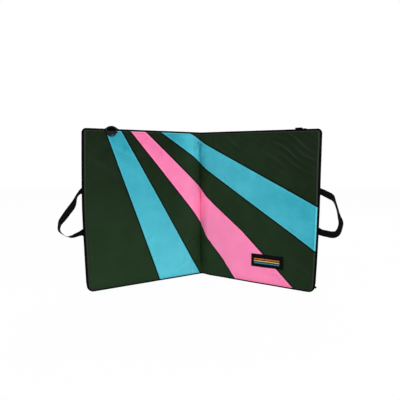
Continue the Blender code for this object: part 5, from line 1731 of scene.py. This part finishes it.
def add_camera():
    """The photograph's camera."""
    data = bpy.data.cameras.new("camera")
    data.sensor_width = SENSOR
    data.lens = SENSOR * FOCAL_PIXELS / IMAGE_SIZE
    camera = new_object("camera", data)
    turn = Matrix.Rotation(math.radians(90.0) - CAMERA_PITCH, 4, "X") @ Matrix.Rotation(CAMERA_ROLL, 4, "Z")
    camera.matrix_world = Matrix.Translation(CAMERA_PLACE) @ turn
    bpy.context.scene.camera = camera


FLOOR_SIZE = 14.0
KEY_SIZE = 2.4
KEY_POWER = 54.0
FILL_POWER = 30.0
BACK_POWER = 55.0
WORLD_STRENGTH = 0.50
FLOOR_WHITE_SHARE = 0.97


def white_rays(tree):
    """One for the rays that are to see plain white: the camera's, and those that glossy pieces send."""
    light = add_node(tree, "LightPath")
    last = light.outputs["Is Camera Ray"]
    for name in ("Is Glossy Ray", "Is Transmission Ray"):
        most = add_node(tree, "Math", {"operation": "MAXIMUM"}, {0: last, 1: light.outputs[name]})
        last = most.outputs["Value"]
    return last


def add_stage():
    """A white floor that keeps a faint shadow, a white sky, and three large soft lamps."""
    bpy.ops.mesh.primitive_plane_add(size=FLOOR_SIZE)
    floor = bpy.context.object
    floor.name = "floor"
    made, tree, shader = new_material("white_painted_floor", {"Roughness": 0.9, "Specular IOR Level": 0.1})
    shader.inputs["Base Color"].default_value = linear("FAFAFA")
    seen = add_node(tree, "Math", {"operation": "MULTIPLY"}, {0: white_rays(tree), 1: FLOOR_WHITE_SHARE})
    white = add_node(tree, "Emission", {}, {"Strength": 1.0})
    mixed = add_node(tree, "MixShader", {}, {"Fac": seen.outputs["Value"], 1: shader.outputs["BSDF"],
                                             2: white.outputs["Emission"]})
    tree.links.new(mixed.outputs["Shader"], tree.nodes["Material Output"].inputs["Surface"])
    floor.data.materials.append(made)

    world = bpy.data.worlds.new("white_studio")
    bpy.context.scene.world = world
    world.use_nodes = True
    tree = world.node_tree
    strength = add_node(tree, "MapRange", {}, {"Value": white_rays(tree), "To Min": WORLD_STRENGTH,
                                               "To Max": 1.0})
    tree.links.new(strength.outputs["Result"], tree.nodes["Background"].inputs["Strength"])
    tree.nodes["Background"].inputs["Color"].default_value = linear("FFFFFF")

    lamps = (("key", (1.6, -2.8, 1.5), KEY_POWER), ("fill", (-1.7, -2.6, 1.6), FILL_POWER),
             ("back", (0.6, 3.2, 2.2), BACK_POWER))
    for name, place, power in lamps:
        data = bpy.data.lights.new(name, "AREA")
        data.shape = "SQUARE"
        data.size = KEY_SIZE
        data.energy = power
        lamp = new_object(name, data)
        lamp.location = place
        aim = Vector((0.0, 0.0, PAD_HEIGHT / 2)) - Vector(place)
        lamp.rotation_euler = aim.to_track_quat("-Z", "Y").to_euler()


add_camera()
SWELL = landing_swell()
landing_cover(SWELL)
front_piping()
fold_lining()
for half, half_name in ((LEFT, "left"), (RIGHT, "right")):
    casing(half, half_name)
    back_piping(half, half_name)
    zipper(half, half_name)
carry_handle(LEFT, "left", LEFT_HANDLE_PATH, LEFT_HANDLE_REACH)
carry_handle(RIGHT, "right", RIGHT_HANDLE_PATH, RIGHT_HANDLE_REACH)
upper_ring(SWELL)
lower_ring()
strap_anchor()
closure_strap()
closure_hook()
lower_strap()
label(SWELL)
for strap_name, strap_lean in (("inner", -1), ("outer", 1)):
    shoulder_strap(strap_name, strap_lean)
add_stage()
bpy.context.scene.view_settings.view_transform = "Standard"
